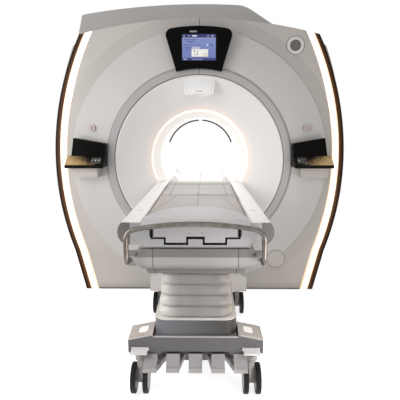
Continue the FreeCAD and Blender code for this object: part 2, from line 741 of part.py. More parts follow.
def turret_prisms(name, inset):
    """Front and side views of the turret cover, drawn in by an inset, meet in its solid."""
    left = -s.turretLeft + inset
    right = s.turretRight - inset * 2
    top = s.crownHeight + s.turretTop
    shoulder = crown_z(s.cornerHalf) + s.turretShoulder
    rear = s.gantryDepth - s.turretRear
    sill = crown_z(s.turretRight) - s.coverWall * 3
    front = [(left, sill), (right, sill), (right, crown_z(s.turretRight)),
             (s.turretShoulderX - inset / 2, s.crownHeight + s.turretShoulderZ - inset),
             arc(s.turretShoulderCurve), (s.turretFlat, top - inset), arc(s.turretCurve),
             (left + s.turretRound, shoulder + s.turretRound / 2 - inset),
             arc(s.turretRound), (left, shoulder - s.turretRound / 2 - inset)]
    plan = front_piece(name + "_front", [front], s.turretFront - s.coverWall, rear + s.coverWall)
    body = new_body(name + "_side")
    peak = top + 4 * s.coverWall
    foot = crown_z(s.cornerHalf)
    slope = [(s.turretFront + inset, sill), (rear - inset, sill), (rear - inset, foot),
             (rear - inset - s.coverWall * 3, peak), (s.turretBrow + inset + s.coverWall * 3, peak),
             (s.turretBrow + inset, top - inset / 2), (s.turretFront + inset, foot - inset)]
    extrude(body, "YZ", [slope], s.cornerHalf * 4, midplane=True)
    move(body, 0, ringY, 0)
    return common(name, plan, body)


def make_turret_cover():
    corner, wide = s.cornerHalf, s.cornerHalf * 2
    eave = crown_z(corner)
    roof = [(-wide, 0), (wide, 0), (wide, eave), (corner, eave), arc(s.crownRadius), (-corner, eave),
            (-wide, eave)]
    below = front_piece("turret_seat", [roof], -s.coverWall, s.gantryDepth)
    move(below, 0, into(-s.coverWall), s.fitGap)
    shell = cut("turret_shell", turret_prisms("turret_outer", 0),
                [turret_prisms("turret_inner", s.coverWall * 3 / 4)])
    keep("turret_cover", cut("turret_cover", shell, [below]))


def make_rear_cover():
    corner, foot, low, bulge = s.cornerHalf, s.footHalf, s.lowHalf, s.bulgeHalf
    eave = crown_z(corner)
    rim = [(-foot, s.floorGap), (foot, s.floorGap), (low, s.lowHeight), arc(s.bulgeRadius),
           (bulge, s.bulgeHeight), (corner, eave), arc(s.crownRadius), (-corner, eave),
           (-bulge, s.bulgeHeight), arc(s.bulgeRadius), (-low, s.lowHeight)]
    plate = front_piece("rear_plate", [rim, (0, s.isoHeight, s.rearMouth)],
                        s.gantryDepth - s.coverWall, s.gantryDepth)
    flare = turned_piece("rear_flare", [[(s.boreRadius, throatEnd), (s.rearMouth, s.gantryDepth),
                                         (s.rearMouth + s.flareWall, s.gantryDepth),
                                         (s.rearMouth + s.flareWall, s.gantryDepth - s.coverWall),
                                         (s.boreRadius + s.flareWall, throatEnd)]])
    keep("rear_cover", fuse("rear_cover", [plate, flare]))


# ---- face disc, ring and bore ----------------------------------------------------------------

def make_face_disc():
    start = s.ringOuter + s.fitGap
    disc = turned_piece("disc_turned", [[(start, s.discInner), (s.discRadius, s.discOuter),
                                         (s.discRadius, s.faceStep), (start, s.faceStep)]])
    holes = [rod("stop_hole_%d" % side, "Y", s.stopRadius + s.fitGap, s.rimStep * 2, s.stopX * side,
                 into(-s.rimStep), s.stopZ) for side in (-1, 1)]
    keep("face_disc", cut("face_disc", disc, holes))


def make_ring_trim():
    keep("ring_trim", turned_piece("ring_trim", [[
        (s.ringInner, s.ringProud / 2), (s.ringInner + s.ringProud, -s.ringProud / 2),
        (s.ringOuter - 2 * s.ringProud, -s.ringProud), (s.ringOuter, 0),
        (s.ringOuter, s.faceStep), (s.ringInner, s.faceStep)]]))


def flare_inside(gap=0):
    """Inner surface of the front flare, the light ring and the bore, drawn in by a gap."""
    return [(s.lipRadius - gap, 2), arc(s.flareCurve, -1), (s.throatRadius - gap, s.flareDepth),
            (s.throatRadius - s.glowStep - gap, s.flareDepth + s.glowLength + 2 * s.fitGap),
            (s.boreRadius - gap, s.throatDepth), (s.boreRadius - gap, throatEnd)]


def bore_space(name, gap):
    """Everything inside the bore's surfaces, as a solid."""
    mouth = s.rearMouth - gap
    return turned_piece(name, [[(0, 2)] + flare_inside(gap) + [(mouth, s.gantryDepth), (0, s.gantryDepth)]])


def well_box(name, wall, end=0):
    return block(name, -s.wellHalf - wall, s.wellHalf + wall, into(s.wellStart) - end,
                 into(s.dockEnd + s.dockGap) + wall, s.wellFloor - wall, s.wellTop)


def make_front_flare():
    lip = s.ringInner - s.fitGap
    shell = turned_piece("flare_shell", [[
        (s.lipRadius, 2), (lip, 2), (lip, s.faceStep), arc(s.flareCurve, 1),
        (s.throatRadius + s.flareWall, s.flareDepth), (s.throatRadius, s.flareDepth), arc(s.flareCurve, 1)]])
    keep("front_flare", cut("front_flare", shell, [well_box("flare_recess", s.wellWall + s.fitGap)]))


def make_dock_well():
    shell = cut("well_shell", well_box("well_outer", s.wellWall), [well_box("well_inner", 0, s.wellWall)])
    keep("dock_well", cut("dock_well", shell, [bore_space("well_space", 0)]))


def make_light_ring():
    start, end = s.flareDepth + s.fitGap, s.flareDepth + s.fitGap + s.glowLength
    inner, outer = s.throatRadius, s.throatRadius - s.glowStep
    keep("bore_light_ring", turned_piece("bore_light_ring", [[
        (inner, start), (inner + s.glowWall, start), (inner + s.glowWall, end), (outer, end)]]))


def make_bore_liner():
    start = s.flareDepth + s.glowLength + 2 * s.fitGap
    groove = throatEnd - s.seamInset - s.seamStrip
    wall = s.boreRadius + s.linerWall
    liner = turned_piece("liner_tube", [[
        (s.throatRadius - s.glowStep, start), (s.throatRadius - s.glowStep + s.linerWall, start),
        (wall, s.throatDepth), (wall, throatEnd - s.fitGap), (s.boreRadius, throatEnd - s.fitGap),
        (s.boreRadius, groove + s.seamStrip), (s.boreRadius + s.seamDepth, groove + s.seamStrip),
        (s.boreRadius + s.seamDepth, groove), (s.boreRadius, groove), (s.boreRadius, s.throatDepth)]])
    keep("bore_liner", liner)


def make_seam_strips():
    """Two dark strips over the top of the bore, with a small gap between them."""
    groove = throatEnd - s.seamInset - s.seamStrip
    inner, outer = s.boreRadius - s.seamProud, s.boreRadius + s.seamDepth
    loop = [(inner, groove), (outer, groove), (outer, groove + s.seamStrip), (inner, groove + s.seamStrip)]
    right = turned_piece("seam_right", [loop], 67, FreeCAD.Rotation(Vector(0, 1, 0), -87))
    keep("bore_seam_strips", group("bore_seam_strips", [right, mirrored("seam_left", right)]))


def make_bore_bridge():
    start, end = s.dockEnd + s.dockGap, s.gantryDepth - s.bridgeEnd
    bar = block("bridge_bar", -s.railHalf, s.railHalf, into(start), into(end), s.bridgeFoot, s.railTop)
    body = common("bridge_fit", bar, bore_space("bridge_space", s.fitGap))
    floor, half, top = s.channelFloorHalf, s.railInner, s.railTop + s.dockGap
    channel = front_piece("bridge_channel", [[
        (-floor, s.bridgeFloor), (floor, s.bridgeFloor), (half, s.channelKnee), (half, top), (-half, top),
        (-half, s.channelKnee)]], start - s.dockGap, end + s.dockGap)
    keep("bore_bridge", cut("bore_bridge", body, [channel]))


# ---- magnet ----------------------------------------------------------------------------------

def make_magnet():
    front, rear = s.vesselFront, s.vesselFront + vesselLength
    edge = s.vesselChamfer
    vessel = turned_piece("magnet_vessel", [[
        (s.vesselInner, front), (s.vesselOuter - edge, front), (s.vesselOuter, front + edge),
        (s.vesselOuter, rear - edge), (s.vesselOuter - edge, rear), (s.vesselInner, rear)]])
    keep("magnet_vessel", vessel)
    inner, outer, end = s.coilInner, s.vesselInner - s.fitGap, s.gantryDepth - s.coilRear
    keep("gradient_coil", turned_piece("gradient_coil", [[
        (inner, s.coilFront), (outer, s.coilFront), (outer, end), (inner, end)]]))
    inner, outer = s.boreRadius + s.linerWall + s.fitGap, s.coilInner - s.fitGap
    end = s.gantryDepth - s.radioRear
    keep("body_coil", turned_piece("body_coil", [[
        (inner, s.radioFront), (outer, s.radioFront), (outer, end), (inner, end)]]))


def make_magnet_feet():
    seat = rod("foot_seat", "Y", s.vesselOuter + s.fitGap, s.gantryDepth, 0, ringY, s.isoHeight)
    feet = []
    for index, (side, end) in enumerate(((-1, -1), (1, -1), (-1, 1), (1, 1))):
        x = s.footSpacingX / 2 * side
        y = into(vesselMiddle + s.footSpacingY / 2 * end)
        plate = block("foot_plate_%d" % index, x - s.footPlateX / 2, x + s.footPlateX / 2,
                      y - s.footPlateY / 2, y + s.footPlateY / 2, 0, s.footPlateZ)
        pillar = block("foot_pillar_%d" % index, x - s.footPillarX / 2, x + s.footPillarX / 2,
                       y - s.footPillarY / 2, y + s.footPillarY / 2, 0, s.isoHeight / 2)
        anchor = rod("foot_anchor_%d" % index, "Z", s.anchorRadius, 3 * s.footPlateZ,
                     x + (s.footPlateX / 2 - s.anchorInset) * side, y, -s.footPlateZ)
        feet.append(cut("foot_%d" % index, fuse("foot_raw_%d" % index, [plate, pillar]), [anchor, seat]))
    keep("magnet_feet", group("magnet_feet", feet))


def make_cold_head():
    seat = rod("head_seat", "Y", s.vesselOuter + s.fitGap, s.gantryDepth, 0, ringY, s.isoHeight)
    y = into(vesselMiddle - s.headY)
    start, top = s.isoHeight + s.vesselOuter * 3 / 4, s.crownHeight + s.headTop
    parts = [rod("head_body", "Z", s.headRadius, top - start, s.headX, y, start),
             rod("head_flange", "Z", s.headFlange, s.coverWall, s.headX, y, top - 6 * s.coverWall),
             rod("head_sleeve", "Z", s.headFlange, top - 9 * s.coverWall - start, s.headX, y, start)]
    keep("cold_head", cut("cold_head", fuse("head_raw", parts), [seat]))


# ---- display, laser housing, consoles and buttons --------------------------------------------

def make_display():
    high, edge = s.displayShoulder, s.displayRound
    shape = [(-s.displayHalfFoot, s.displayFoot), arc(s.ringOuter, -1), (s.displayHalfFoot, s.displayFoot),
             (s.displayHalfTop, high - edge), arc(edge * 1.2), (s.displayHalfTop - edge, high + edge / 3),
             arc(s.displayCurve), (edge - s.displayHalfTop, high + edge / 3), arc(edge * 1.2),
             (-s.displayHalfTop, high - edge)]
    housing = front_piece("display_body", [shape], -s.displayFace, -s.ringProud - s.fitGap)
    pocket = block("screen_pocket", -s.screenHalf, s.screenHalf, before(s.displayFace) - s.screenInset,
                   before(s.displayFace) + s.screenInset, s.screenLow, s.screenHigh)
    keep("display_housing", cut("display_housing", housing, [pocket]))
    edge = s.fitGap
    screen = block("display_screen", -s.screenHalf + edge, s.screenHalf - edge, before(s.displayFace) + edge,
                   before(s.displayFace) + s.screenInset, s.screenLow + edge, s.screenHigh - edge)
    keep("display_screen", screen)


def make_laser_housing():
    foot, top = s.isoHeight + s.lipRadius - s.laserDrop, s.isoHeight + s.ringOuter
    half, arch = s.laserHalfFoot, s.laserArch
    shape = [(-half, foot), (-arch, foot), (-arch * 2 / 3, foot + s.laserArchRise),
             (arch * 2 / 3, foot + s.laserArchRise), (arch, foot), (half, foot),
             (s.laserHalfTop, top), (-s.laserHalfTop, top)]
    prism = front_piece("laser_prism", [shape], s.floorGap, s.flareDepth)
    keep("laser_housing", common("laser_housing", prism, bore_space("laser_space", s.fitGap)))


def make_consoles():
    face = s.ringProud + s.fitGap
    inner, outer = s.consoleInner, s.consoleOuter
    middle = s.consoleMiddle
    hood = front_piece("hood_right", [[
        (inner, middle), (outer, middle), (outer - s.hoodTaper, s.hoodHighOuter), (inner, s.hoodHighInner)]],
        -s.consoleFront, -face)
    keep("console_hoods", group("console_hoods", [hood, mirrored("hood_left", hood)]))
    keypad = new_body("keypad_right")
    top = middle - s.fitGap
    under = s.bracketTop + s.fitGap
    extrude(keypad, "YZ", [[
        (-s.keypadFront, s.keypadLip - s.keypadThick), (-s.keypadFront * 3 / 4, under), (-face, under),
        (-face, top), (-s.consoleFront, top), (-s.keypadFront, s.keypadLip)]],
        outer + s.keypadOverhang - inner)
    move(keypad, inner, ringY, 0)
    keep("console_keypads", group("console_keypads", [keypad, mirrored("keypad_left", keypad)]))
    arm = block("bracket_arm", s.bracketInner, outer, before(s.bracketFront), into(s.discOuter),
                s.bracketFoot, s.bracketTop)
    bracket = cut("bracket_right", arm, [disc_tool("bracket_disc")])
    keep("console_brackets", group("console_brackets", [bracket, mirrored("bracket_left", bracket)]))


def make_stop_buttons():
    length = s.stopFace + s.faceStep - s.stopTravel - s.fitGap
    for side, word in ((-1, "left"), (1, "right")):
        name = "stop_button_" + word
        keep(name, rod(name, "Y", s.stopRadius, length, s.stopX * side, before(s.stopFace), s.stopZ))


def make_access_port():
    cap = rod("port_cap", "Y", s.portRadius, s.faceStep - s.portFace - s.fitGap, s.portX,
              into(s.portFace), s.portZ)
    cover = cut("access_port_cover", cap, [disc_tool("port_disc")])
    keep("access_port_cover", cover)


# ---- table top -------------------------------------------------------------------------------

def rail_profile():
    return [(s.railInner, s.railFoot), (s.railFootHalf, s.railFoot), arc(s.railCurve),
            (s.railHalf, s.railTop), (s.railInner, s.railTop)]


def make_rails():
    rail = front_piece("rail_right", [rail_profile()], -s.railFront, s.dockEnd)
    keep("side_rails", group("side_rails", [rail, mirrored("rail_left", rail)]))
    cap = front_piece("cap_right", [rail_profile()], -s.railFront - s.capThick, -s.railFront)
    keep("rail_end_caps", group("rail_end_caps", [cap, mirrored("cap_left", cap)]))


def make_deck():
    a, b, half = s.ridgeInner, s.ridgeOuter, s.railInner
    floor, ridge = s.deckTop, s.glideTop
    keep("table_deck", front_piece("table_deck", [[
        (-half, s.deckFoot), (half, s.deckFoot), (half, floor), (b, floor), (b, ridge), (a, ridge), (a, floor),
        (-a, floor), (-a, ridge), (-b, ridge), (-b, floor), (-half, floor)]], -s.deckFront, s.dockEnd))


def tray_loop(inset):
    low = s.trayFoot + inset
    half, neck, keel = s.trayHalf - inset, s.trayNeck - inset, s.trayKeelHalf - inset / 2
    top = s.deckFoot + inset
    return [(-keel, low), (keel, low), (half, low + s.trayKeelRise), (half, s.trayShoulder - inset),
            (neck, s.trayShoulder), (neck, top), (-neck, top), (-neck, s.trayShoulder),
            (-half, s.trayShoulder - inset), (-half, low + s.trayKeelRise)]


def make_tray():
    front, rear, wall = -s.trayFront, -s.trayRear, s.trayWall
    outer = front_piece("tray_outer", [tray_loop(0)], front, rear)
    inner = front_piece("tray_inner", [tray_loop(wall)], front + wall, rear - wall)
    half, keel = s.shroudHalf, s.shroudKeel
    shroud = front_piece("lift_shroud", [[
        (-keel, s.shroudFoot), (keel, s.shroudFoot), (half, s.trayFoot), (-half, s.trayFoot)]],
        -s.shroudFront, -s.shroudRear)
    start, low = before(s.trayFront - s.earStep), s.handleFoot - s.earHeight / 2
    ear = block("ear_right", s.trayHalf - wall, s.earOuter, start, start + s.earDepth, low, low + s.earHeight)
    hollow = cut("tray_hollow", outer, [inner])
    keep("table_tray", fuse("tray_shell", [hollow, shroud, ear, mirrored("ear_left", ear)]))


def make_foot_cover():
    gap = s.lockGap
    notch, floor, tab = s.lockFoot - gap, s.lockTabFoot - gap, s.lockTabOuter + gap
    tongue, lip = s.lockTabInner - gap, s.lockHalf + gap
    half, keel, top = s.footCoverHalf, s.footCoverKeel, s.footCoverTop
    right = [(keel, s.footCoverFoot), (half, s.footCoverBelt), (s.railInner, top), (lip, top), (lip, notch),
             (tab, notch), (tab, floor), (tongue, floor), (tongue, notch)]
    left = [(-x, z) for x, z in reversed(right)]
    keep("foot_end_cover", front_piece("foot_end_cover", [right + left], -s.footFace,
                                       s.footCoverThick - s.footFace))


def bend(name, radius, angle, x, y, z, towards, onwards):
    """Part of a bent tube: it starts on one side of its centre and turns onwards to another."""
    torus = document.addObject("Part::Torus", name)
    torus.Radius1 = bind(torus, "Radius1", radius)
    torus.Radius2 = bind(torus, "Radius2", s.handleRadius)
    torus.Angle3 = bind(torus, "Angle3", angle)
    return move(torus, x, y, z, FreeCAD.Rotation(Vector(towards), Vector(onwards), Vector(), "XYZ"))


def make_handle():
    """Metal tube: two elbows at the feet, two corners and an arched bar between them."""
    half, low, high, curve = s.handleHalf, s.handleFoot, s.handleShoulder, s.handleCurve
    front, back = before(s.handleFront), before(s.trayFront - s.earStep)
    corner, elbow, tube = s.handleCorner, s.handleElbow, s.handleRadius
    sine = (half - corner) / (curve - corner)
    cosine = root(1 - sine * sine)
    lean = slope_angle(sine)
    knee = high - corner * cosine
    parts = [rod("handle_foot", "Y", tube, back - front - elbow, half, front + elbow, low),
             bend("handle_elbow", elbow, 90, half, front + elbow, low + elbow, (0, -1, 0), (0, 0, -1)),
             rod("handle_leg", "Z", tube, knee - low - elbow, half, front, low + elbow),
             bend("handle_corner", corner, 90 - lean, half - corner, front, knee, (1, 0, 0), (0, 0, 1)),
             bend("handle_bar", curve, lean, 0, front, high - curve * cosine, (0, 0, 1), (1, 0, 0))]
    right = fuse("handle_right", parts)
    keep("handle", fuse("handle", [right, mirrored("handle_left", right)]))


# ---- cradle ----------------------------------------------------------------------------------

def make_cradle():
    half, keel, top = s.cradleHalf, s.cradleKeel, s.cradleTop
    side = top - s.cradleBevel
    start = s.endPlateThick - s.footFace
    keep("cradle_board", front_piece("cradle_board", [[
        (-keel, s.cradleFoot), (keel, s.cradleFoot), (half, side), (half, top), (-half, top), (-half, side)]],
        start, s.dockEnd))
    lock, tab, notch = s.lockHalf, s.lockTabOuter, s.lockTabInner
    high, low = s.lockFoot, s.lockTabFoot
    plate = front_piece("lock_plate", [[
        (-lock, high), (-tab, high), (-tab, low), (-notch, low), (-notch, high), (notch, high), (notch, low),
        (tab, low), (tab, high), (lock, high), (lock, top + s.fitGap), (-lock, top + s.fitGap)]],
        -s.footFace, start)
    side = new_body("wedge_side")
    extrude(side, "YZ", [[
        (-s.footFace, top), (-s.wedgeRear, top), (-s.wedgeRear, s.wedgeRearTop),
        (-s.wedgeMiddle, s.wedgeMiddleTop), (-s.footFace, s.wedgeFrontTop)]], 2 * half, midplane=True)
    move(side, 0, ringY, 0)
    plan = new_body("wedge_plan")
    extrude(plan, "XY", [wedge_plan(0)], top)
    move(plan, 0, ringY, top / 2)
    keep("cradle_foot_end", fuse("cradle_foot_end", [plate, common("foot_wedge", side, plan)]))


def wedge_plan(gap):
    """Plan of the foot wedge, with its arched rear end, drawn out by a gap."""
    half, waist = s.cradleHalf, s.archHalf + gap
    return [(-half, -s.footFace), (half, -s.footFace), (half, gap - s.archFoot), arc(s.archSide),
            (waist, gap - s.archWaist), arc(s.archTop), (-waist, gap - s.archWaist), arc(s.archSide),
            (-half, gap - s.archFoot)]


def make_pads():
    """Three pads on the cradle board.  The first one is cut out round the foot wedge."""
    thick = s.padTop - s.cradleTop - s.fitGap
    ends = [(-s.padFront, -s.padSeamOne - s.padSeam / 2),
            (-s.padSeamOne + s.padSeam / 2, s.padSeamTwo - s.padSeam / 2),
            (s.padSeamTwo + s.padSeam / 2, s.dockEnd - s.padSeam)]
    pads = []
    for index, (start, end) in enumerate(ends):
        body = new_body("pad_%d" % index)
        slab = extrude(body, "XY", [rounded(-s.padHalf, s.padHalf, start, end, s.padCorner)], thick)
        document.recompute()
        upper = ["Edge%d" % place for place, edge in enumerate(slab.Shape.Edges, start=1)
                 if min(vertex.Z for vertex in edge.Vertexes) > thick.value - 0.01]
        crown = body.newObject("PartDesign::Fillet", "pad_round_%d" % index)
        crown.Base = (slab, upper)
        crown.Radius = bind(crown, "Radius", s.padRound)
        pads.append(move(body, 0, ringY, s.cradleTop + s.fitGap))
    notch = new_body("pad_notch")
    extrude(notch, "XY", [wedge_plan(s.padSeam)], s.cradleTop)
    move(notch, 0, ringY, s.cradleTop / 2)
    pads[0] = cut("pad_front", pads[0], [notch])
    keep("cradle_pads", group("cradle_pads", pads))


# ---- lift ------------------------------------------------------------------------------------

def square_tube(name, width, wall, low, high):
    body = new_body(name)
    half = width / 2
    inner = half - wall
    walls = [rectangle(-half, half, -half, half), rectangle(-inner, inner, -inner, inner)]
    extrude(body, "XY", walls, high - low)
    return move(body, 0, before(s.columnY), low)


def make_lift():
    name = "lift_column_outer"
    keep(name, square_tube(name, s.columnOuter, s.columnWall, s.spineTop, s.columnHigh))
    name = "lift_column_inner"
    width = s.columnOuter - 2 * s.columnWall - 2 * s.fitGap
    keep(name, square_tube(name, width, s.columnInnerWall, s.columnLow, s.shroudFoot))


def make_collar():
    body = new_body("base_collar")
    half, wall = s.collarHalf, s.collarWall
    front, rear = -s.collarFront, -s.collarRear
    hole, high = 4 * wall, s.collarTop - s.collarFoot
    extrude(body, "XY", [rounded(-half, half, front, rear, s.collarRound)], high)
    extrude(body, "XY", [rounded(wall - half, half - wall, front + wall, rear - wall, s.collarRound - wall)],
            high - wall, cut=True)
    extrude(body, "XY", [rounded(hole - half, half - hole, front + hole, rear - hole,
                                 s.collarRound - wall * 3)], high + wall, cut=True)
    keep("base_collar", move(body, 0, ringY, s.collarFoot))


def sleeve_skin(name, inset):
    """Loft through a stack of rounded outlines that are narrow and wide in turn."""
    low, high = s.collarTop + s.fitGap, s.shroudFoot - s.fitGap
    levels = []
    for level in range(2 * BELLOWS_FOLDS + 1):
        pull = inset + (s.bellowsDepth if level % 2 == 0 else 0)
        half = s.bellowsHalf - pull
        sketch = document.addObject("Sketcher::SketchObject", "%s_%d" % (name, level))
        draw_loop(sketch, rounded(-half, half, pull - s.bellowsFront, -s.bellowsRear - pull,
                                  s.bellowsRound - pull / 2))
        sketch.Visibility = False
        levels.append(move(sketch, 0, ringY, low + (high - low) * (level / (2 * BELLOWS_FOLDS))))
    loft = document.addObject("Part::Loft", name)
    loft.Sections = levels
    loft.Solid = True
    loft.Ruled = True
    return loft


def make_bellows():
    """Soft sleeve round the lift column."""
    outer = sleeve_skin("sleeve_outer", 0)
    keep("bellows", cut("bellows", outer, [sleeve_skin("sleeve_inner", s.bellowsWall)]))


# ---- base ------------------------------------------------------------------------------------

def caster_places():
    return [("front_left", -1, s.frontCasterY), ("front_right", 1, s.frontCasterY),
            ("rear_left", -1, s.rearCasterY), ("rear_right", 1, s.rearCasterY)]


def make_base_frame():
    half = s.baseHalf - s.coverSkin - s.fitGap
    wide = s.rearBeamHalf
    spine, low, high = s.spineHalf, s.beamFoot, s.beamTop
    neck = s.lugX + s.lugThick / 2
    front, riser = before(s.frontBeamFront), before(s.riserRear)
    post, rear = before(s.rearBeamFront), before(s.rearBeamRear)
    parts = [
        block("front_beam", -half, half, front, before(s.frontBeamRear), low, high),
        block("neck", -neck, neck, front, riser, low, high),
        block("riser", -spine, spine, before(s.spineFront), riser, s.spineFoot, high),
        block("spine", -spine, spine, before(s.spineFront), rear, s.spineFoot, s.spineTop),
        block("rear_post", -spine, spine, post, rear, s.spineFoot, high),
        block("rear_beam", -wide, wide, post, rear, low, high),
        rod("pedal_shaft", "X", s.shaftRadius, 2 * s.lugX, -s.lugX, before(s.shaftY), s.shaftZ)]
    for side, word in ((-1, "left"), (1, "right")):
        x = s.lugX * side
        parts.append(block("pedal_lug_" + word, x - s.lugThick / 2, x + s.lugThick / 2,
                           before(s.shaftY + 2 * s.shaftRadius), before(s.shaftY - 2 * s.shaftRadius),
                           s.shaftZ - 2 * s.shaftRadius, high))
        x = s.brakeLugX * side
        parts.append(block("brake_lug_" + word, x - s.lugThick / 2, x + s.lugThick / 2,
                           before(s.brakeY + 2 * s.brakeRadius), front + s.lugThick,
                           low, s.brakeZ + 2 * s.brakeRadius))
    holes = [rod("brake_hole", "X", s.brakeRadius + s.runningGap, 2 * half, -half, before(s.brakeY), s.brakeZ)]
    for word, side, y in caster_places():
        holes.append(rod("stem_hole_" + word, "Z", s.stemRadius + s.fitGap, s.stemDepth + s.coverSkin,
                         s.casterX * side, before(y), low - s.coverSkin))
    keep("base_frame", cut("base_frame", fuse("frame_raw", parts), holes))


def wing_loop(inset):
    half, inner, foot = s.baseHalf - inset, s.wingInner - inset, s.wingFoot - inset
    low, high, shelf = s.wingLow - inset, s.wingHigh - inset, s.collarFoot - s.fitGap - inset
    return [(-half, foot), (half, foot), (half, low), (inner, high), (inner, shelf), (-inner, shelf),
            (-inner, high), (-half, low)]


def rear_block_loop(inset):
    half, crown, top = s.rearBlockHalf - inset, s.rearBlockCrown - inset / 2, s.rearBlockTop - inset
    foot, shoulder = s.rearBlockFoot - inset, s.rearBlockTop - s.rearBlockSlope - inset
    return [(-half, foot), (half, foot), (half, shoulder), (crown, top), (-crown, top), (-half, shoulder)]


def make_base_covers():
    """One white moulding: the front wings, the cover over the spine and the rear caster cover."""
    skin, inner = s.coverSkin, s.wingInner
    shelf, top = s.collarFoot - s.fitGap, s.rearBlockTop
    start, middle = before(s.wingRear), before(s.housingRear)
    reach, column = s.columnOuter * 3 / 4, before(s.columnY)
    wings = front_piece("wings_outer", [wing_loop(0)], -s.baseFront, -s.wingRear)
    housing = block("housing_outer", -inner, inner, start, middle, s.housingFoot, shelf)
    block_end = front_piece("rear_outer", [rear_block_loop(0)], -s.housingRear, -s.rearBlockRear)
    near, low = inner - skin, s.housingFoot - skin
    hollows = [
        front_piece("wings_inner", [wing_loop(skin)], -s.baseFront - skin, -s.wingRear - skin),
        block("wings_way", -near, near, start - 2 * skin, start + 2 * skin, low, shelf - skin),
        block("housing_inner", -near, near, start - skin, middle - skin, low, shelf - skin),
        block("housing_way", -near, near, middle - 2 * skin, middle + 2 * skin, low, top - skin),
        front_piece("rear_inner", [rear_block_loop(skin)], skin - s.housingRear, -s.rearBlockRear - skin),
        block("column_way", -reach, reach, column - reach, column + reach, s.housingFoot, shelf + skin)]
    keep("base_covers", cut("base_covers", fuse("covers_raw", [wings, housing, block_end]), hollows))


def make_bumper():
    right = [(s.bumperArchHalf, s.bumperArch), (s.bumperLowX, s.bumperLow), (s.baseHalf, s.wingFoot),
             (s.baseHalf, s.bumperShoulder), (s.wingInner, s.wingHigh - s.bumperThick / 2),
             (s.wingInner, s.collarFoot)]
    left = [(-x, z) for x, z in reversed(right)]
    plate = front_piece("bumper_plate", [right + left], -s.baseFront - s.bumperThick, -s.baseFront - s.fitGap)
    room = s.leverThick / 2 + s.leverSlot
    side, front = s.leverSlot / 3, before(s.baseFront + 2 * s.bumperThick)
    slot = block("slot_right", s.leverInner - side, s.leverOuter + side, front, front + 3 * s.bumperThick,
                 s.brakeZ - room, s.brakeZ + s.leverThick / 2 + s.lugThick / 4)
    keep("base_bumper", cut("base_bumper", plate, [slot, mirrored("slot_left", slot)]))


def make_brake_bar():
    thick = s.leverThick / 2
    shaft = rod("brake_shaft", "X", s.brakeRadius, 2 * s.leverOuter, -s.leverOuter, before(s.brakeY),
                s.brakeZ)
    right = block("lever_right", s.leverInner, s.leverOuter, before(s.leverFront), before(s.brakeY),
                  s.brakeZ - thick, s.brakeZ + thick)
    keep("brake_bar", fuse("brake_bar", [shaft, right, mirrored("lever_left", right)]))


def make_pedals():
    start, end = before(s.shaftY), before(s.armEnd)
    half = s.armWidth / 2
    run, rise, thick = s.pedalRun, s.pedalRise, s.pedalThick
    length = root(run * run + rise * rise)
    down, along = -thick * run / length, thick * rise / length
    for index in range(5):
        place = index - 2
        name = "pedal_%d" % (index + 1)
        hub_x, pad_x = s.hubPitch * place, s.pedalPitch * place
        hub = rod(name + "_hub", "X", s.hubRadius, s.hubWidth, hub_x - s.hubWidth / 2, start, s.shaftZ)
        arm = new_body(name + "_arm")
        extrude(arm, "XY", [[(pad_x - half, end), (pad_x + half, end), (hub_x + half, start),
                             (hub_x - half, start)]], s.armHigh - s.armLow)
        move(arm, 0, 0, s.armLow)
        pad = new_body(name + "_pad")
        extrude(pad, "YZ", [[(along, down), (run + along, rise + down), (run, rise), (0, 0)]],
                s.pedalWidth, midplane=True)
        move(pad, pad_x, before(s.tableReach), s.pedalLow)
        bore = rod(name + "_bore", "X", s.shaftRadius + s.runningGap, s.hubWidth * 3,
                   hub_x - s.hubWidth * 3 / 2, start, s.shaftZ)
        keep(name, cut(name, fuse(name + "_raw", [hub, arm, pad]), [bore]))


def make_casters():
    boss, trail, cap = s.forkBoss, s.casterTrail, s.capRadius
    r, a, b, edge, axle = s.wheelRadius, s.wheelInner, s.wheelOuter, s.wheelRound, s.axleRadius
    for word, side, y in caster_places():
        x, swivel_y = s.casterX * side, before(y)
        axle_y = swivel_y - trail
        name = "caster_fork_" + word
        leg = new_body(name + "_leg")
        extrude(leg, "YZ", [[(-trail - boss, r), arc(boss), (-trail, r - boss), (-trail + boss, r),
                             (cap, s.forkTop), (-cap, s.forkTop)]], 2 * s.forkHalf, midplane=True)
        move(leg, x, swivel_y, 0)
        stem = s.beamFoot + s.stemDepth - s.fitGap - s.capTop
        parts = [leg, rod(name + "_cap", "Z", cap, s.capTop - s.forkTop, x, swivel_y, s.forkTop),
                 rod(name + "_stem", "Z", s.stemRadius, stem, x, swivel_y, s.capTop)]
        bore = rod(name + "_bore", "X", axle + s.runningGap, 4 * s.forkHalf, x - 2 * s.forkHalf, axle_y, r)
        keep(name, cut(name, fuse(name + "_raw", parts), [bore]))
        wheels = new_body("caster_wheels_" + word)
        sketch = new_sketch(wheels, "XY", [[
            (-b, 0), (b, 0), (b, r - edge), arc(edge), (b - edge, r), (a + edge, r), arc(edge), (a, r - edge),
            (a, axle), (-a, axle), (-a, r - edge), arc(edge), (-a - edge, r), (-b + edge, r), arc(edge),
            (-b, r - edge)]])
        turned = wheels.newObject("PartDesign::Revolution", "wheels_turned_" + word)
        turned.Profile = sketch
        turned.ReferenceAxis = (sketch, ["H_Axis"])
        keep("caster_wheels_" + word, move(wheels, x, axle_y, r))


for make in (
        make_front_cover, make_light_strips, make_edge_trims, make_side_covers, make_top_cover, make_turret_cover,
        make_rear_cover, make_face_disc, make_ring_trim, make_front_flare, make_dock_well, make_light_ring,
        make_bore_liner, make_seam_strips, make_bore_bridge, make_magnet, make_magnet_feet, make_cold_head,
        make_display, make_laser_housing, make_consoles, make_stop_buttons, make_access_port, make_rails,
        make_deck, make_tray, make_foot_cover, make_handle, make_cradle, make_pads, make_lift, make_collar,
        make_bellows, make_base_frame, make_base_covers, make_bumper, make_brake_bar, make_pedals,
        make_casters):
    make()
document.recompute()

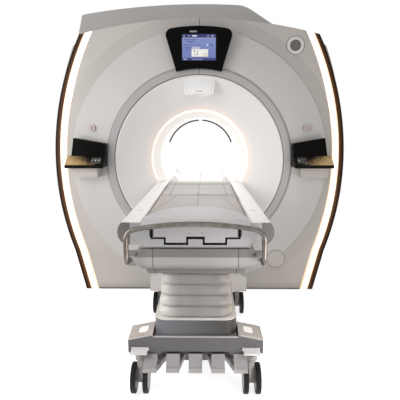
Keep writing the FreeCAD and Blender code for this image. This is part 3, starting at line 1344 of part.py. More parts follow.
for thing in document.Objects:
    if "Invalid" in thing.State or "Error" in thing.State:
        raise RuntimeError("%s did not rebuild: %s" % (thing.Label, thing.State))
os.makedirs("parts", exist_ok=True)
for name, thing in pieces.items():
    shape = thing.Shape
    if shape.isNull() or not shape.isValid() or not shape.Solids:
        raise RuntimeError("%s has no valid solid" % name)
for name, thing in pieces.items():
    thing.Shape.exportStep("parts/%s.step" % name)
print("%d sub-parts written" % len(pieces))
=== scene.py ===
import math

import bpy
import numpy as np
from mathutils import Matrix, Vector


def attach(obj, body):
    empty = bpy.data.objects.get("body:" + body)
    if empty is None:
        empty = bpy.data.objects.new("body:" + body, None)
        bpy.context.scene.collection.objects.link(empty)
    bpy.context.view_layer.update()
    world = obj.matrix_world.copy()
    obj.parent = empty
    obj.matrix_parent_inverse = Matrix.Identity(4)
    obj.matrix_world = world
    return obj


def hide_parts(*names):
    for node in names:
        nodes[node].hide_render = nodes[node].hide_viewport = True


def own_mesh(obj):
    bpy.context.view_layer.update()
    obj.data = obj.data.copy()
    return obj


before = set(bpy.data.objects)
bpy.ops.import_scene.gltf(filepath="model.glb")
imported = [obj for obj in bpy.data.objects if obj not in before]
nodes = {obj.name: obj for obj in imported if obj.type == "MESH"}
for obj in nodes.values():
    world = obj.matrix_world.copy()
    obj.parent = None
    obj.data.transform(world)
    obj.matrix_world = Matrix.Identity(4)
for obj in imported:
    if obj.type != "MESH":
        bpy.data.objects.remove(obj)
scene = bpy.context.scene
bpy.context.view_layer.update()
print("frame loaded")


# the camera stands where the photograph was taken: its place in metres, how far it looks down and turns in
# radians, and its sensor and lens in millimetres
viewpoint = {"place": (0.0403, -3.4783, 1.3097), "down": 0.1593, "turn": 0.0098, "sensor": 36, "lens": 39.08}
camera = bpy.data.objects.new("camera", bpy.data.cameras.new("camera"))
scene.collection.objects.link(camera)
camera.location = viewpoint["place"]
camera.rotation_euler = (math.pi / 2 - viewpoint["down"], 0, viewpoint["turn"])
camera.data.sensor_width = viewpoint["sensor"]
camera.data.lens = viewpoint["lens"]
scene.camera = camera
scene.view_settings.view_transform = "Standard"


# a colour written as 0 to 255 on a screen, as Blender's linear values
def tone(red, green, blue):
    return tuple((part / 255 / 12.92) if part < 10.3 else ((part / 255 + 0.055) / 1.055) ** 2.4
                 for part in (red, green, blue)) + (1.0,)


# a link out of a node, which takes part in arithmetic
class Wire:
    def __init__(self, net, socket):
        self.net, self.socket = net, socket

    def __add__(self, other):
        return self.net.maths("ADD", self, other)

    def __radd__(self, other):
        return self.net.maths("ADD", other, self)

    def __sub__(self, other):
        return self.net.maths("SUBTRACT", self, other)

    def __rsub__(self, other):
        return self.net.maths("SUBTRACT", other, self)

    def __mul__(self, other):
        return self.net.maths("MULTIPLY", self, other)

    def __rmul__(self, other):
        return self.net.maths("MULTIPLY", other, self)

    def __truediv__(self, other):
        return self.net.maths("DIVIDE", self, other)

    def __rtruediv__(self, other):
        return self.net.maths("DIVIDE", other, self)

    def __pow__(self, other):
        return self.net.maths("POWER", self, other)

    def __abs__(self):
        return self.net.maths("ABSOLUTE", self)

    def least(self, other):
        return self.net.maths("MINIMUM", self, other)

    def most(self, other):
        return self.net.maths("MAXIMUM", self, other)

    def sine(self):
        return self.net.maths("SINE", self)


# an empty node tree, of a material or of the world
class Tree:
    def __init__(self, tree):
        self.tree = tree
        self.tree.nodes.clear()

    # any node: its type, its settings, the values or links of its sockets, and the output that is wanted
    def node(self, kind, settings, sockets, output=0):
        made = self.tree.nodes.new(kind)
        for name, value in settings.items():
            setattr(made, name, value)
        for name, value in sockets.items():
            if isinstance(value, Wire):
                self.tree.links.new(value.socket, made.inputs[name])
            else:
                made.inputs[name].default_value = value
        return Wire(self, made.outputs[output]) if len(made.outputs) else None

    def maths(self, kind, *values):
        return self.node("ShaderNodeMath", {"operation": kind}, dict(enumerate(values)))


# the node tree of one material, with the place on the object as its x, y and z
class Net(Tree):
    def __init__(self, name):
        self.material = bpy.data.materials.new(name)
        self.material.use_nodes = True
        super().__init__(self.material.node_tree)
        self.spot = self.node("ShaderNodeTexCoord", {}, {}, "Object")
        parts = self.node("ShaderNodeSeparateXYZ", {}, {"Vector": self.spot})
        self.x, self.y, self.z = (Wire(self, out) for out in parts.socket.node.outputs)

    def mix(self, share, first, second):
        return self.node("ShaderNodeMix", {"data_type": "RGBA"}, {0: share, 6: first, 7: second}, 2)

    def noise(self, scale, detail, spot=None):
        sockets = {"Vector": spot or self.spot, "Scale": scale, "Detail": detail}
        return self.node("ShaderNodeTexNoise", {}, sockets)

    # rises smoothly from 0 to 1 between two values
    def rise(self, value, low, high):
        return self.node("ShaderNodeMapRange", {"interpolation_type": "SMOOTHSTEP"},
                         {"Value": value, "From Min": low, "From Max": high})

    # 1 where a value is within half of a place, with a soft edge outside
    def band(self, value, place, half, soft):
        return 1 - self.rise(abs(value - place), half, half + soft)

    # 1 inside a box, whose edges are its left, right, low and high
    def box(self, across, up, edges, soft=0.0008):
        left, right, low, high = edges
        return (self.band(across, (left + right) / 2, (right - left) / 2, soft)
                * self.band(up, (low + high) / 2, (high - low) / 2, soft))

    def bump(self, height, depth):
        return self.node("ShaderNodeBump", {}, {"Height": height, "Distance": depth, "Strength": 1.0})

    def surface(self, sockets):
        shader = self.node("ShaderNodeBsdfPrincipled", {}, sockets)
        self.node("ShaderNodeOutputMaterial", {}, {"Surface": shader})
        return self.material


# moulded or painted plastic: the tone drifts slowly, the gloss has a fine grain, the skin a faint peel,
# marks(net) may add dark seams and painted shadow lines, and the last argument, given net and colour, patches
# of another colour, some of them painted light and shade; in a look, drift is how much the tone varies, grain
# the scale of the gloss's grain, depth the bumps' depth in metres, seam the tone of the marks, shine how
# strong plain reflections are, and glow(net) the emitted colour, a painted glow on the flare and the liner
def moulded(name, colour, look, marks=None, tintAndPaintedLight=None):
    net = Net(name)
    drift = look.get("drift", 0.05)
    slow, fine = net.noise(1.6, 3.0), net.noise(look.get("grain", 260.0), 2.0)
    pale = tuple(min(1, part * (1 + drift)) for part in colour[:3]) + (1.0,)
    deep = tuple(part * (1 - drift) for part in colour[:3]) + (1.0,)
    painted = net.mix(net.rise(slow, 0.3, 0.7), deep, pale)
    painted = net.mix(net.rise(fine, 0.55, 0.9) * 0.25, painted, deep)
    if tintAndPaintedLight:
        painted = tintAndPaintedLight(net, painted)
    height = fine
    gloss = look["rough"] - 0.05 + net.noise(7.0, 4.0) * 0.1
    if marks:
        seam = marks(net)
        painted = net.mix(seam, painted, look.get("seam", tone(92, 88, 86)))
        height = height - seam * 12
        gloss = gloss + seam * 0.2
    glow = {"Emission Color": look["glow"](net), "Emission Strength": 1.0} if "glow" in look else {}
    sockets = {"Base Color": painted, "Roughness": gloss,
               "Normal": net.bump(height, look.get("depth", 0.00005)),
               "Coat Weight": look.get("coat", 0.0), "Coat Roughness": look.get("coatRough", 0.2),
               "Metallic": look.get("metal", 0.0), "Specular IOR Level": look.get("shine", 0.5), **glow}
    return net.surface(sockets)


# the material on whole CAD pieces
def dress(material, *names):
    for name in names:
        for place in nodes[name].material_slots:
            place.material = material


# covers
coverLook = {"rough": 0.42, "drift": 0.03, "depth": 0.00006, "coat": 0.1, "shine": 0.4}
coverTone = tone(206, 200, 194)
# places on the gantry in metres: the bore's axis over the floor, the joins between the panels along the bore,
# the boss, the port and the stop buttons as seen from the front, and the ends of the seam over the screen
gantry = {"axis": 1.07, "joins": (0.62, 1.16), "boss": (0.729, 1.944), "port": (0.618, 0.286),
          "button": (0.822, 1.327), "seam": (2.05, 2.146)}
# the front's outline: an arc about a middle down to the waist, and a straight line from there to the floor
outline = {"radius": 2.16901, "middle": (-1.0317, 1.0611), "waist": 0.342, "foot": 0.93106, "slope": 0.24471}


# distance from a place on the front
def reachFrom(net, across, up):
    return ((net.x - across) ** 2 + (net.z - up) ** 2) ** 0.5


# distance from the nearer one of a pair of places, left and right of the middle
def pairReach(net, across, up):
    return ((abs(net.x) - across) ** 2 + (net.z - up) ** 2) ** 0.5


def boreReach(net):
    return reachFrom(net, 0.0, gantry["axis"])


# 1 on a thin line where a value is at a place
def joinAt(net, value, place):
    return net.band(value, place, 0.0018, 0.0012)


def panelJoins(net):
    near, far = gantry["joins"]
    return joinAt(net, net.y, near).most(joinAt(net, net.y, far))


# how far a point lies in from the front's outline, level with it
def insetOf(net):
    across, up = outline["middle"]
    arc = ((outline["radius"] ** 2 - (net.z - up) ** 2) ** 0.5) + across
    line = net.z * outline["slope"] + outline["foot"]
    below = 1 - net.rise(net.z, outline["waist"], outline["waist"] + 0.002)
    return arc + (line - arc) * below - abs(net.x)


def frontMarks(net):
    # the short seam above the display and the joins round the bare boss and its middle
    above = net.box(net.x, net.z, (0.0012, 0.0048, *gantry["seam"]), 0.0006)
    boss = reachFrom(net, *gantry["boss"])
    front = 1 - net.rise(net.y, 0.0, 0.04)
    middle = net.band(boss, 0.0405, 0.0008, 0.001) * front
    return above.most(net.band(boss, 0.0665, 0.0012, 0.001)).most(middle)


def frontToneAndShade(net, colour):
    # the boss is paler with a grey middle, and the foot darkens towards the floor, down to a painted shadow
    # along its bottom
    boss = reachFrom(net, *gantry["boss"])
    colour = net.mix((1 - net.rise(boss, 0.066, 0.0665)) * 0.9, colour, tone(240, 237, 234))
    colour = net.mix(1 - net.rise(boss, 0.039, 0.04), colour, tone(112, 106, 102))
    colour = net.mix((1 - net.rise(net.z, 0.012, 0.09)) * 0.35, colour, tone(120, 112, 104))
    return net.mix(1 - net.rise(net.z, 0.021, 0.023), colour, tone(60, 66, 62))


dress(moulded("front_shell", coverTone, coverLook, frontMarks, frontToneAndShade), "front_cover")


def sideMarks(net):
    # upright joins between the side panels and a level one low down
    return panelJoins(net).most(net.band(net.z, 0.33, 0.0016, 0.0012))


dress(moulded("side_shell", coverTone, coverLook, sideMarks), "side_cover_left", "side_cover_right")
dress(moulded("roof_shell", coverTone, coverLook, panelJoins), "top_cover")


def turretMarks(net):
    # a join across the turret and a row of air slots in its rear slope
    slots = net.band(net.maths("FRACT", net.x * 22), 0.5, 0.2, 0.05) * net.band(net.x, -0.15, 0.62, 0.002)
    slots = slots * net.box(net.y, net.z, (1.33, 1.42, 2.05, 2.25), 0.002)
    return joinAt(net, net.y, gantry["joins"][0]).most(slots)


dress(moulded("turret_shell", tone(207, 203, 199), coverLook, turretMarks), "turret_cover")


def rearMarks(net):
    # two upright joins and a ring join round the rear mouth
    flat = net.rise(net.y, 1.575, 1.585)
    return joinAt(net, abs(net.x), 0.68).most(joinAt(net, boreReach(net), 0.585)) * flat


dress(moulded("rear_shell", coverTone, coverLook, rearMarks), "rear_cover")


def discMarks(net):
    # the short seam in the disc's middle, over the ring
    return net.band(abs(net.x), 0.0015, 0.0012, 0.0008) * net.rise(net.z, 1.7, 1.701)


discLook = dict(coverLook, coat=0.3, coatRough=0.3)
dress(moulded("disc_shell", tone(210, 206, 203), discLook, discMarks), "face_disc")


def portMarks(net):
    # the lid's round join and its small finger notch
    reach = reachFrom(net, *gantry["port"])
    notch = net.box(net.x, net.z, (0.61, 0.626, 0.2155, 0.2215), 0.001)
    return net.band(reach, 0.0715, 0.0012, 0.0008).most(notch * 0.5)


portLook = dict(coverLook, seam=tone(120, 108, 100))
dress(moulded("port_shell", tone(204, 198, 192), portLook, portMarks), "access_port_cover")
dress(moulded("bracket_shell", tone(202, 196, 190), coverLook), "console_brackets")


def ringMarks(net):
    # a line along its inner and outer edge and a seam at its top
    reach = boreReach(net)
    seam = net.band(net.x, 0.003, 0.0012, 0.0008) * net.rise(net.z, 1.7, 1.701)
    return net.band(reach, 0.6555, 0.0008, 0.0008).most(net.band(reach, 0.7195, 0.0014, 0.001)).most(seam)


ringLook = {"rough": 0.38, "drift": 0.03, "depth": 0.00005, "coat": 0.1, "seam": tone(62, 58, 56)}
dress(moulded("ring_shell", tone(180, 178, 177), ringLook, ringMarks), "ring_trim")


linerLook = {"rough": 0.34, "drift": 0.015, "depth": 0.00004, "coat": 0.3}


# painted glow: the flare emits light towards its throat, where the light ring stands behind it
def flarePaintedGlow(net):
    return net.mix((1 - net.rise(boreReach(net), 0.36, 0.5)) ** 1.5, tone(0, 0, 0), tone(112, 106, 100))


# painted glow: the liner emits light, more in its middle past the light ring
def linerPaintedGlow(net):
    return net.mix(net.rise(net.y, 0.35, 0.7), tone(92, 87, 83), tone(104, 102, 100))


def flareLipShade(net):
    # painted shade: the flare's lip next to the ring is dark, as a shadow gap
    return net.rise(boreReach(net), 0.6505, 0.6512) * (1 - net.rise(net.y, -0.095, -0.09))


def flarePaintedRingLight(net, colour):
    # painted light: the light ring's warm light on the throat's edge
    return net.mix((1 - net.rise(boreReach(net), 0.425, 0.47)) * 0.3, colour, tone(255, 232, 216))


# the seam tone is the painted shade on the flare's lip
flareLook = dict(linerLook, seam=tone(104, 98, 96), glow=flarePaintedGlow)
dress(moulded("flare_shell", tone(240, 238, 237), flareLook, flareLipShade, flarePaintedRingLight), "front_flare")
dress(moulded("well_shell", tone(236, 234, 233), linerLook), "dock_well")
dress(moulded("liner_shell", tone(248, 247, 245), dict(linerLook, glow=linerPaintedGlow)), "bore_liner")


def laserMarks(net):
    # its two side joins and the slot of the aiming line in its middle
    sides = net.band(abs(net.x), 0.0905 + (net.z - 1.578) * 0.15, 0.0008, 0.001)
    return (sides * 0.5).most(net.box(net.x, net.z, (-0.022, 0.022, 1.6, 1.604), 0.001))


laserLook = dict(linerLook, rough=0.16, coat=0.6, coatRough=0.05, seam=tone(150, 144, 142))
dress(moulded("laser_shell", tone(250, 249, 248), laserLook, laserMarks), "laser_housing")
trimLook = {"rough": 0.4, "drift": 0.12, "shine": 0.08, "depth": 0.00004}


def trimStain(net, colour):
    # lighter brown towards its inner side
    return net.mix(net.rise(insetOf(net), 0.006, 0.034), colour, tone(104, 72, 48))


dress(moulded("trim_shell", tone(44, 27, 16), trimLook, None, trimStain), "edge_trims")
stripLook = {"rough": 0.4, "drift": 0.1, "shine": 0.2}
dress(moulded("seam_strip_shell", tone(20, 18, 17), stripLook), "bore_seam_strips")


# frosted light in two tints; share(net) says where the second one shows
def glowing(name, share, strength, core, rim):
    net = Net(name)
    edge = share(net)
    cloud = net.noise(30.0, 2.0)
    colour = net.mix(edge, core, rim)
    base = net.mix(cloud, tone(240, 236, 228), tone(250, 248, 244))
    return net.surface({"Base Color": base, "Roughness": 0.5,
                        "Emission Color": colour, "Emission Strength": strength,
                        "Normal": net.bump(net.noise(500.0, 1.0), 0.00004)})


# amber away from the strip's middle line, and white on a narrower stretch near the floor
def stripEdge(net):
    low = 1 - net.rise(net.z, 0.0, 0.9)
    return net.rise(abs(insetOf(net) - 0.0701), 0.013 - low * 0.005, 0.029 - low * 0.004)


dress(glowing("strip_light", stripEdge, 1.12, tone(255, 251, 242), tone(214, 150, 84)), "light_strips")


# the light ring changes its tint at its rear edge
def ringEdge(net):
    return net.rise(net.y, 0.296, 0.3)


dress(glowing("bore_light", ringEdge, 0.4, tone(255, 238, 226), tone(255, 248, 240)), "bore_light_ring")


# display, consoles and buttons
blackLook = {"rough": 0.08, "drift": 0.1, "depth": 0.00001, "shine": 0.05}


def bezelMarks(net):
    # a small plain lamp window over the screen
    return net.box(net.x, net.z, (-0.066, -0.016, 2.0165, 2.0245), 0.003)


dress(moulded("bezel_shell", tone(8, 7, 7), dict(blackLook, seam=tone(175, 170, 172)), bezelMarks),
      "display_housing")
dress(moulded("hood_shell", tone(9, 8, 7), dict(blackLook, rough=0.25, shine=0.04)), "console_hoods")


# the keypads: where the one on the right starts across and along, its size, and how many keys fill it
keypad = {"inner": 0.711, "width": 0.289, "front": -0.262, "length": 0.098, "columns": 11, "rows": 3.4}


# sealed film with a black lip, printed keys on top and a painted golden reflection towards the outer end
def keypadMaterial():
    net = Net("keypad_film")
    across = (abs(net.x) - keypad["inner"]) / keypad["width"]
    up = (net.y - keypad["front"]) / keypad["length"]
    lip = 1 - net.rise(up, 0.0, 0.05)
    colour = net.mix(net.noise(240.0, 2.0), tone(12, 10, 8), tone(20, 16, 12))
    # painted reflection: a golden gleam towards the outer end
    goldReflection = net.rise(across + net.noise(40.0, 3.0) * 0.45 - up * 0.45, 0.36, 1.0)
    colour = net.mix(goldReflection * 0.9, colour, tone(232, 198, 140))
    column = net.maths("FRACT", across * keypad["columns"])
    row = net.maths("FRACT", up * keypad["rows"])
    area = net.band(across, 0.45, 0.37, 0.004) * net.band(up, 0.42, 0.26, 0.01)
    outer = net.box(column, row, (0.14, 0.86, 0.14, 0.86), 0.02)
    border = outer - net.box(column, row, (0.24, 0.76, 0.26, 0.74), 0.02)
    pick = net.rise(net.noise(34.0, 0.0), 0.42, 0.46)
    printed = (border * 0.4 + net.box(column, row, (0.36, 0.64, 0.36, 0.64), 0.03) * pick) * area
    inner = 1 - net.rise(across, 0.3, 0.36)
    ink = net.mix(inner, tone(104, 82, 50), tone(236, 232, 228))
    colour = net.mix((printed * (inner * 0.5 + 0.5)).least(1.0), colour, ink)
    colour = net.mix(lip, colour, tone(9, 8, 7))
    return net.surface({"Base Color": colour, "Roughness": 0.3 + net.noise(14.0, 3.0) * 0.1,
                        "Specular IOR Level": 0.06,
                        "Normal": net.bump(printed + net.noise(500.0, 1.0) * 0.2, 0.0002)})


dress(keypadMaterial(), "console_keypads")


def buttonStain(net, colour):
    # a raised ring round a small middle
    reach = pairReach(net, *gantry["button"])
    colour = net.mix(net.band(reach, 0.0185, 0.0045, 0.001), colour, tone(214, 200, 202))
    colour = net.mix(net.band(reach, 0.0115, 0.0012, 0.001), colour, tone(140, 120, 122))
    return net.mix(net.rise(reach, 0.0235, 0.0245), colour, tone(128, 112, 110))


dress(moulded("button_shell", tone(190, 170, 172), {"rough": 0.35, "drift": 0.04}, None, buttonStain),
      "stop_button_left", "stop_button_right")

# the screen: its left and lower edge and its size
screen = {"left": -0.125, "low": 1.816, "width": 0.25, "height": 0.187}
# plain blocks of a generic screen layout: left, right, low and high as shares of the screen, then the colour
screenBlocks = [
    ((0.0, 1.0, 0.86, 1.0), tone(44, 52, 104)), ((0.0, 1.0, 0.0, 0.1), tone(60, 70, 130)),
    ((0.02, 0.98, 0.84, 0.855), tone(170, 176, 214)),
    ((0.05, 0.085, 0.905, 0.955), tone(150, 155, 200)), ((0.19, 0.23, 0.905, 0.95), tone(140, 146, 190)),
    ((0.3, 0.44, 0.905, 0.95), tone(216, 216, 232)), ((0.74, 0.8, 0.905, 0.95), tone(132, 138, 184)),
    ((0.86, 0.93, 0.9, 0.955), tone(150, 155, 196)),
    ((0.05, 0.42, 0.775, 0.795), tone(76, 86, 142)), ((0.13, 0.38, 0.715, 0.735), tone(76, 86, 142)),
    ((0.22, 0.31, 0.655, 0.675), tone(76, 86, 142)), ((0.05, 0.27, 0.575, 0.595), tone(76, 86, 142)),
    ((0.33, 0.52, 0.575, 0.59), tone(92, 102, 158)), ((0.05, 0.27, 0.475, 0.495), tone(76, 86, 142)),
    ((0.12, 0.25, 0.405, 0.425), tone(76, 86, 142)), ((0.73, 0.77, 0.56, 0.62), tone(214, 216, 232)),
    ((0.81, 0.91, 0.57, 0.61), tone(84, 94, 150)), ((0.05, 0.14, 0.03, 0.07), tone(168, 172, 206)),
    ((0.3, 0.6, 0.025, 0.06), tone(128, 134, 178)),
    ((0.3, 0.52, 0.43, 0.51), tone(190, 192, 212)), ((0.28, 0.77, 0.13, 0.43), tone(120, 118, 122)),
    ((0.285, 0.765, 0.15, 0.425), tone(240, 238, 232)), ((0.62, 0.765, 0.15, 0.3), tone(226, 222, 206)),
    ((0.445, 0.455, 0.17, 0.37), tone(120, 120, 132)), ((0.35, 0.38, 0.34, 0.38), tone(60, 62, 80)),
    ((0.35, 0.4, 0.22, 0.24), tone(132, 132, 142)),
]


def screenMaterial():
    net = Net("screen_glass")
    across, up = (net.x - screen["left"]) / screen["width"], (net.z - screen["low"]) / screen["height"]
    colour = net.mix(net.rise(up, 0.0, 1.0), tone(112, 126, 184), tone(128, 142, 196))
    for edges, shade in screenBlocks:
        colour = net.mix(net.box(across, up, edges, 0.006), colour, shade)
    # a darker rim and a faint raster
    rim = 1 - net.box(across, up, (0.012, 0.988, 0.014, 0.986), 0.008)
    colour = net.mix(rim, colour, tone(20, 24, 48))
    raster = net.maths("FRACT", across * 320).least(net.maths("FRACT", up * 240))
    return net.surface({"Base Color": (0.01, 0.01, 0.015, 1.0), "Roughness": 0.18, "Specular IOR Level": 0.3,
                        "Emission Color": net.mix(raster * 0.06, colour, tone(0, 0, 0)),
                        "Emission Strength": 0.95,
                        "Normal": net.bump(net.noise(900.0, 1.0), 0.000004)})


dress(screenMaterial(), "display_screen")


# table
def railMarks(net):
    # a painted shadow line along each rail's inner edge and a join in the middle
    inner = net.band(abs(net.x), 0.2665, 0.0008, 0.0008) * net.rise(net.z, 0.873, 0.8735)
    return inner.most(net.band(net.y, -0.62, 0.001, 0.0008) * 0.6)


def railStain(net, colour):
    # a small printed lock mark near each end
    locks = net.box(abs(net.x), net.y, (0.294, 0.324, -1.1375, -1.1305), 0.0015)
    locks = locks.most(net.box(abs(net.x), net.y, (0.288, 0.316, 0.1775, 0.1845), 0.0015))
    return net.mix(locks, colour, tone(128, 120, 120))


railLook = {"rough": 0.36, "drift": 0.02, "coat": 0.2, "coatRough": 0.32, "depth": 0.00003,
            "seam": tone(120, 112, 112)}
dress(moulded("rail_shell", tone(245, 242, 240), railLook, railMarks, railStain), "side_rails")
greyLook = {"rough": 0.45, "drift": 0.04, "depth": 0.00008, "grain": 420.0}


def capStain(net, colour):
    # the inner part is pale like the rail
    return net.mix(1 - net.rise(abs(net.x), 0.314, 0.3155), colour, tone(190, 187, 186))


dress(moulded("cap_shell", tone(117, 113, 110), greyLook, None, capStain), "rail_end_caps")


# the end plate and the notch it drops into: where the gap round it starts behind its face, and its top
endPlate = {"gap": -1.5194, "top": 0.8592}
# the tone of the painted shade in and round the gap
gapShadeTone = tone(16, 15, 15)


def deckGapShade(net, colour):
    # painted shade: dark where the front shows through the gap round the end plate
    front = (1 - net.rise(net.y, -1.484, -1.483)) * net.rise(net.z, 0.784, 0.785)
    return net.mix(front, colour, gapShadeTone)


dress(moulded("deck_shell", tone(196, 193, 190), greyLook, None, deckGapShade), "table_deck", "cradle_board")


def bridgeMarks(net):
    # cross joins and the middle seam of the slide in the channel
    joins = net.band(net.y, 0.44, 0.0015, 0.0015).most(net.band(net.y, 0.74, 0.0015, 0.0015))
    return joins.most(net.band(net.x, 0.0, 0.0015, 0.0015)) * net.band(net.x, 0.0, 0.26, 0.001)


def bridgeStain(net, colour):
    # the slide in the channel is grey, the rails beside it are white
    channel = net.band(net.x, 0.0, 0.2605, 0.0008) * (1 - net.rise(net.y, 0.9, 1.1))
    return net.mix(channel, colour, tone(176, 172, 170))


bridgeLook = dict(greyLook, seam=tone(120, 114, 112))
dress(moulded("bridge_shell", tone(236, 234, 232), bridgeLook, bridgeMarks, bridgeStain), "bore_bridge")
tableLook = {"rough": 0.36, "drift": 0.03, "depth": 0.00006, "coat": 0.15, "seam": tone(70, 66, 64)}


def footMarks(net):
    # two small screws on the end plate
    front = 1 - net.rise(net.y, -1.515, -1.51)
    return (1 - net.rise(pairReach(net, 0.0305, 0.8398), 0.0022, 0.003)) * front


def gapEdge(net):
    return net.rise(net.y, endPlate["gap"], endPlate["gap"] + 0.0008)


def footToneAndGapShade(net, colour):
    # painted shade: the edges inside the gap round the end plate are dark, and so are bands on its two sides,
    # between the tabs and under them, which widen the gap's shade; the raised wedge has a tone of its own
    below = 1 - net.rise(net.z, endPlate["top"], endPlate["top"] + 0.0006)
    shadeBands = net.rise(abs(net.x), 0.195, 0.1955) * net.rise(net.z, 0.8225, 0.823)
    shadeBands = shadeBands.most(1 - net.rise(net.z, 0.794, 0.7945))
    shadeBands = shadeBands.most(net.box(net.x, net.z, (-0.043, 0.043, 0.81, 0.8235), 0.0005))
    colour = net.mix(net.rise(net.z, 0.8605, 0.861), colour, tone(190, 187, 187))
    return net.mix(gapEdge(net).most(shadeBands) * below, colour, gapShadeTone)


def notchGapShade(net, colour):
    # painted shade: the dark edge of the notch that the end plate drops into, and dark bands at its sides
    # that widen the gap's shade
    edge = gapEdge(net) * net.box(net.x, net.z, (-0.2105, 0.2105, 0.78, endPlate["top"]), 0.0004)
    shadeBands = net.box(abs(net.x), net.z, (0.2, 0.2135, 0.822, endPlate["top"]), 0.0005)
    return net.mix(edge.most(shadeBands), colour, gapShadeTone)


footLook = dict(tableLook, rough=0.55, coat=0.0)
dress(moulded("foot_shell", tone(202, 199, 200), footLook, footMarks, footToneAndGapShade), "cradle_foot_end")
dress(moulded("foot_cover_shell", tone(190, 188, 189), tableLook, None, notchGapShade), "foot_end_cover")


def trayMarks(net):
    # upright joins of the tray, closer together on the shroud below it
    low = 1 - net.rise(net.z, 0.6625, 0.6635)
    return net.band(abs(net.x), 0.2028 - low * 0.0066, 0.0011, 0.0009)


def trayRecessShade(net, colour):
    # painted shade: the recessed band under the deck is darker grey, and so is the shroud below the tray
    band = net.rise(net.z, 0.7165, 0.7185)
    colour = net.mix(band, colour, tone(134, 130, 126))
    return net.mix(1 - net.rise(net.z, 0.655, 0.69), colour, tone(138, 134, 132))


dress(moulded("tray_shell", tone(182, 179, 179), tableLook, trayMarks, trayRecessShade), "table_tray")


# base
def collarStain(net, colour):
    # its top is pale and its right side is darker and browner than its left
    colour = net.mix(net.rise(net.x, -0.2, 0.2), colour, tone(54, 51, 48))
    return net.mix(net.rise(net.z, 0.4075, 0.4085), colour, tone(216, 212, 207))


darkLook = {"rough": 0.4, "drift": 0.05, "depth": 0.0001, "grain": 380.0}
dress(moulded("collar_shell", tone(101, 102, 106), darkLook, None, collarStain), "base_collar")

# the bumper: its screws, the half width of its middle part, the height of its upper edge, how much higher
# that edge starts on the wings and how it falls along them, and the arch over the pedals
bumper = {"screws": (0.31, 0.262), "middle": 0.206, "edge": 0.3275, "step": 0.01, "fall": 0.21,
          "arch": 0.163, "archTop": 0.2555}


def bumperMarks(net):
    # one screw at each end
    return net.band(pairReach(net, *bumper["screws"]), 0.004, 0.0006, 0.0005)


def bumperHighlightAndShade(net, colour):
    # painted highlight: its upper edge is lighter
    wing = net.rise(abs(net.x), 0.2055, 0.2065)
    height = net.z + (abs(net.x) - bumper["middle"]) * bumper["fall"] * wing - wing * bumper["step"]
    edge = net.rise(height, bumper["edge"], bumper["edge"] + 0.0015)
    colour = net.mix(edge * 0.75, colour, tone(200, 195, 191))
    # painted shade: near black below the arch over the pedals
    below = 1 - net.rise(net.z, bumper["archTop"], bumper["archTop"] + 0.001)
    return net.mix(net.band(net.x, 0.0, bumper["arch"], 0.001) * below, colour, tone(24, 22, 22))


bumperLook = dict(darkLook, seam=tone(60, 58, 58))
dress(moulded("bumper_shell", tone(90, 88, 89), bumperLook, bumperMarks, bumperHighlightAndShade), "base_bumper")

# the pale insert on each wing of the base: its middle and its half sizes
insert = {"across": 0.258, "along": -1.455, "halfWidth": 0.023, "halfLength": 0.034}


def baseStain(net, colour):
    # the tops of the wings are browner than the rest
    top, raised = net.rise(net.z, 0.3, 0.301), net.rise(net.z, 0.32, 0.322)
    wing = net.rise(abs(net.x), 0.205, 0.2055) * (1 - net.rise(net.y, -1.4, -1.25)) * top
    colour = net.mix(wing * 0.9, colour, tone(166, 157, 150))
    # the insert has rounded corners and a grey rim
    across = (abs(net.x) - insert["across"]) / insert["halfWidth"]
    along = (net.y - insert["along"]) / insert["halfLength"]
    reach = across ** 4 + along ** 4
    colour = net.mix(net.band(reach, 1.1, 0.12, 0.08) * raised, colour, tone(150, 144, 138))
    colour = net.mix((1 - net.rise(reach, 0.94, 1.0)) * raised, colour, tone(250, 248, 245))
    # the ledge behind the bumper is grey
    ledge = net.band(net.x, 0.0, 0.2055, 0.0005) * (1 - net.rise(net.y, -1.485, -1.48)) * top
    return net.mix(ledge, colour, tone(96, 94, 95))


dress(moulded("base_shell", tone(222, 217, 213), coverLook, None, baseStain), "base_covers")
steelLook = {"rough": 0.35, "drift": 0.08, "metal": 0.3, "depth": 0.00008, "grain": 300.0}
dress(moulded("frame_paint", tone(96, 94, 94), steelLook), "base_frame")


def pedalStain(net, colour):
    # the pad's front lip is worn lighter, and the arm behind the pad is paler
    slope = net.z - (net.y + 1.6) * 0.98
    lip = (1 - net.rise(slope, 0.182, 0.196)) * (1 - net.rise(net.y, -1.592, -1.584))
    colour = net.mix(net.rise(net.y, -1.535, -1.525), colour, tone(200, 195, 193))
    return net.mix(lip * 0.8, colour, tone(186, 181, 179))


def pedalMarks(net):
    # a fine join between each pad and its arm
    return net.band(net.y, -1.5385, 0.0008, 0.0008) * 0.6


pedalLook = dict(greyLook, seam=tone(92, 88, 88))
pedalPaint = moulded("pedal_paint", tone(140, 136, 136), pedalLook, pedalMarks, pedalStain)
dress(pedalPaint, *["pedal_%d" % number for number in range(1, 6)])
dress(moulded("lever_paint", tone(210, 206, 205), greyLook), "brake_bar")

# the wheels: their axles along the table and over the floor, and the radii where the tyre and its tread
# start, of the middle of the spokes and of the groove round them
wheels = {"axles": {"front": -1.454, "rear": -0.484}, "height": 0.076, "tyre": 0.0585, "tread": 0.0735,
          "spokes": 0.042, "groove": 0.056}


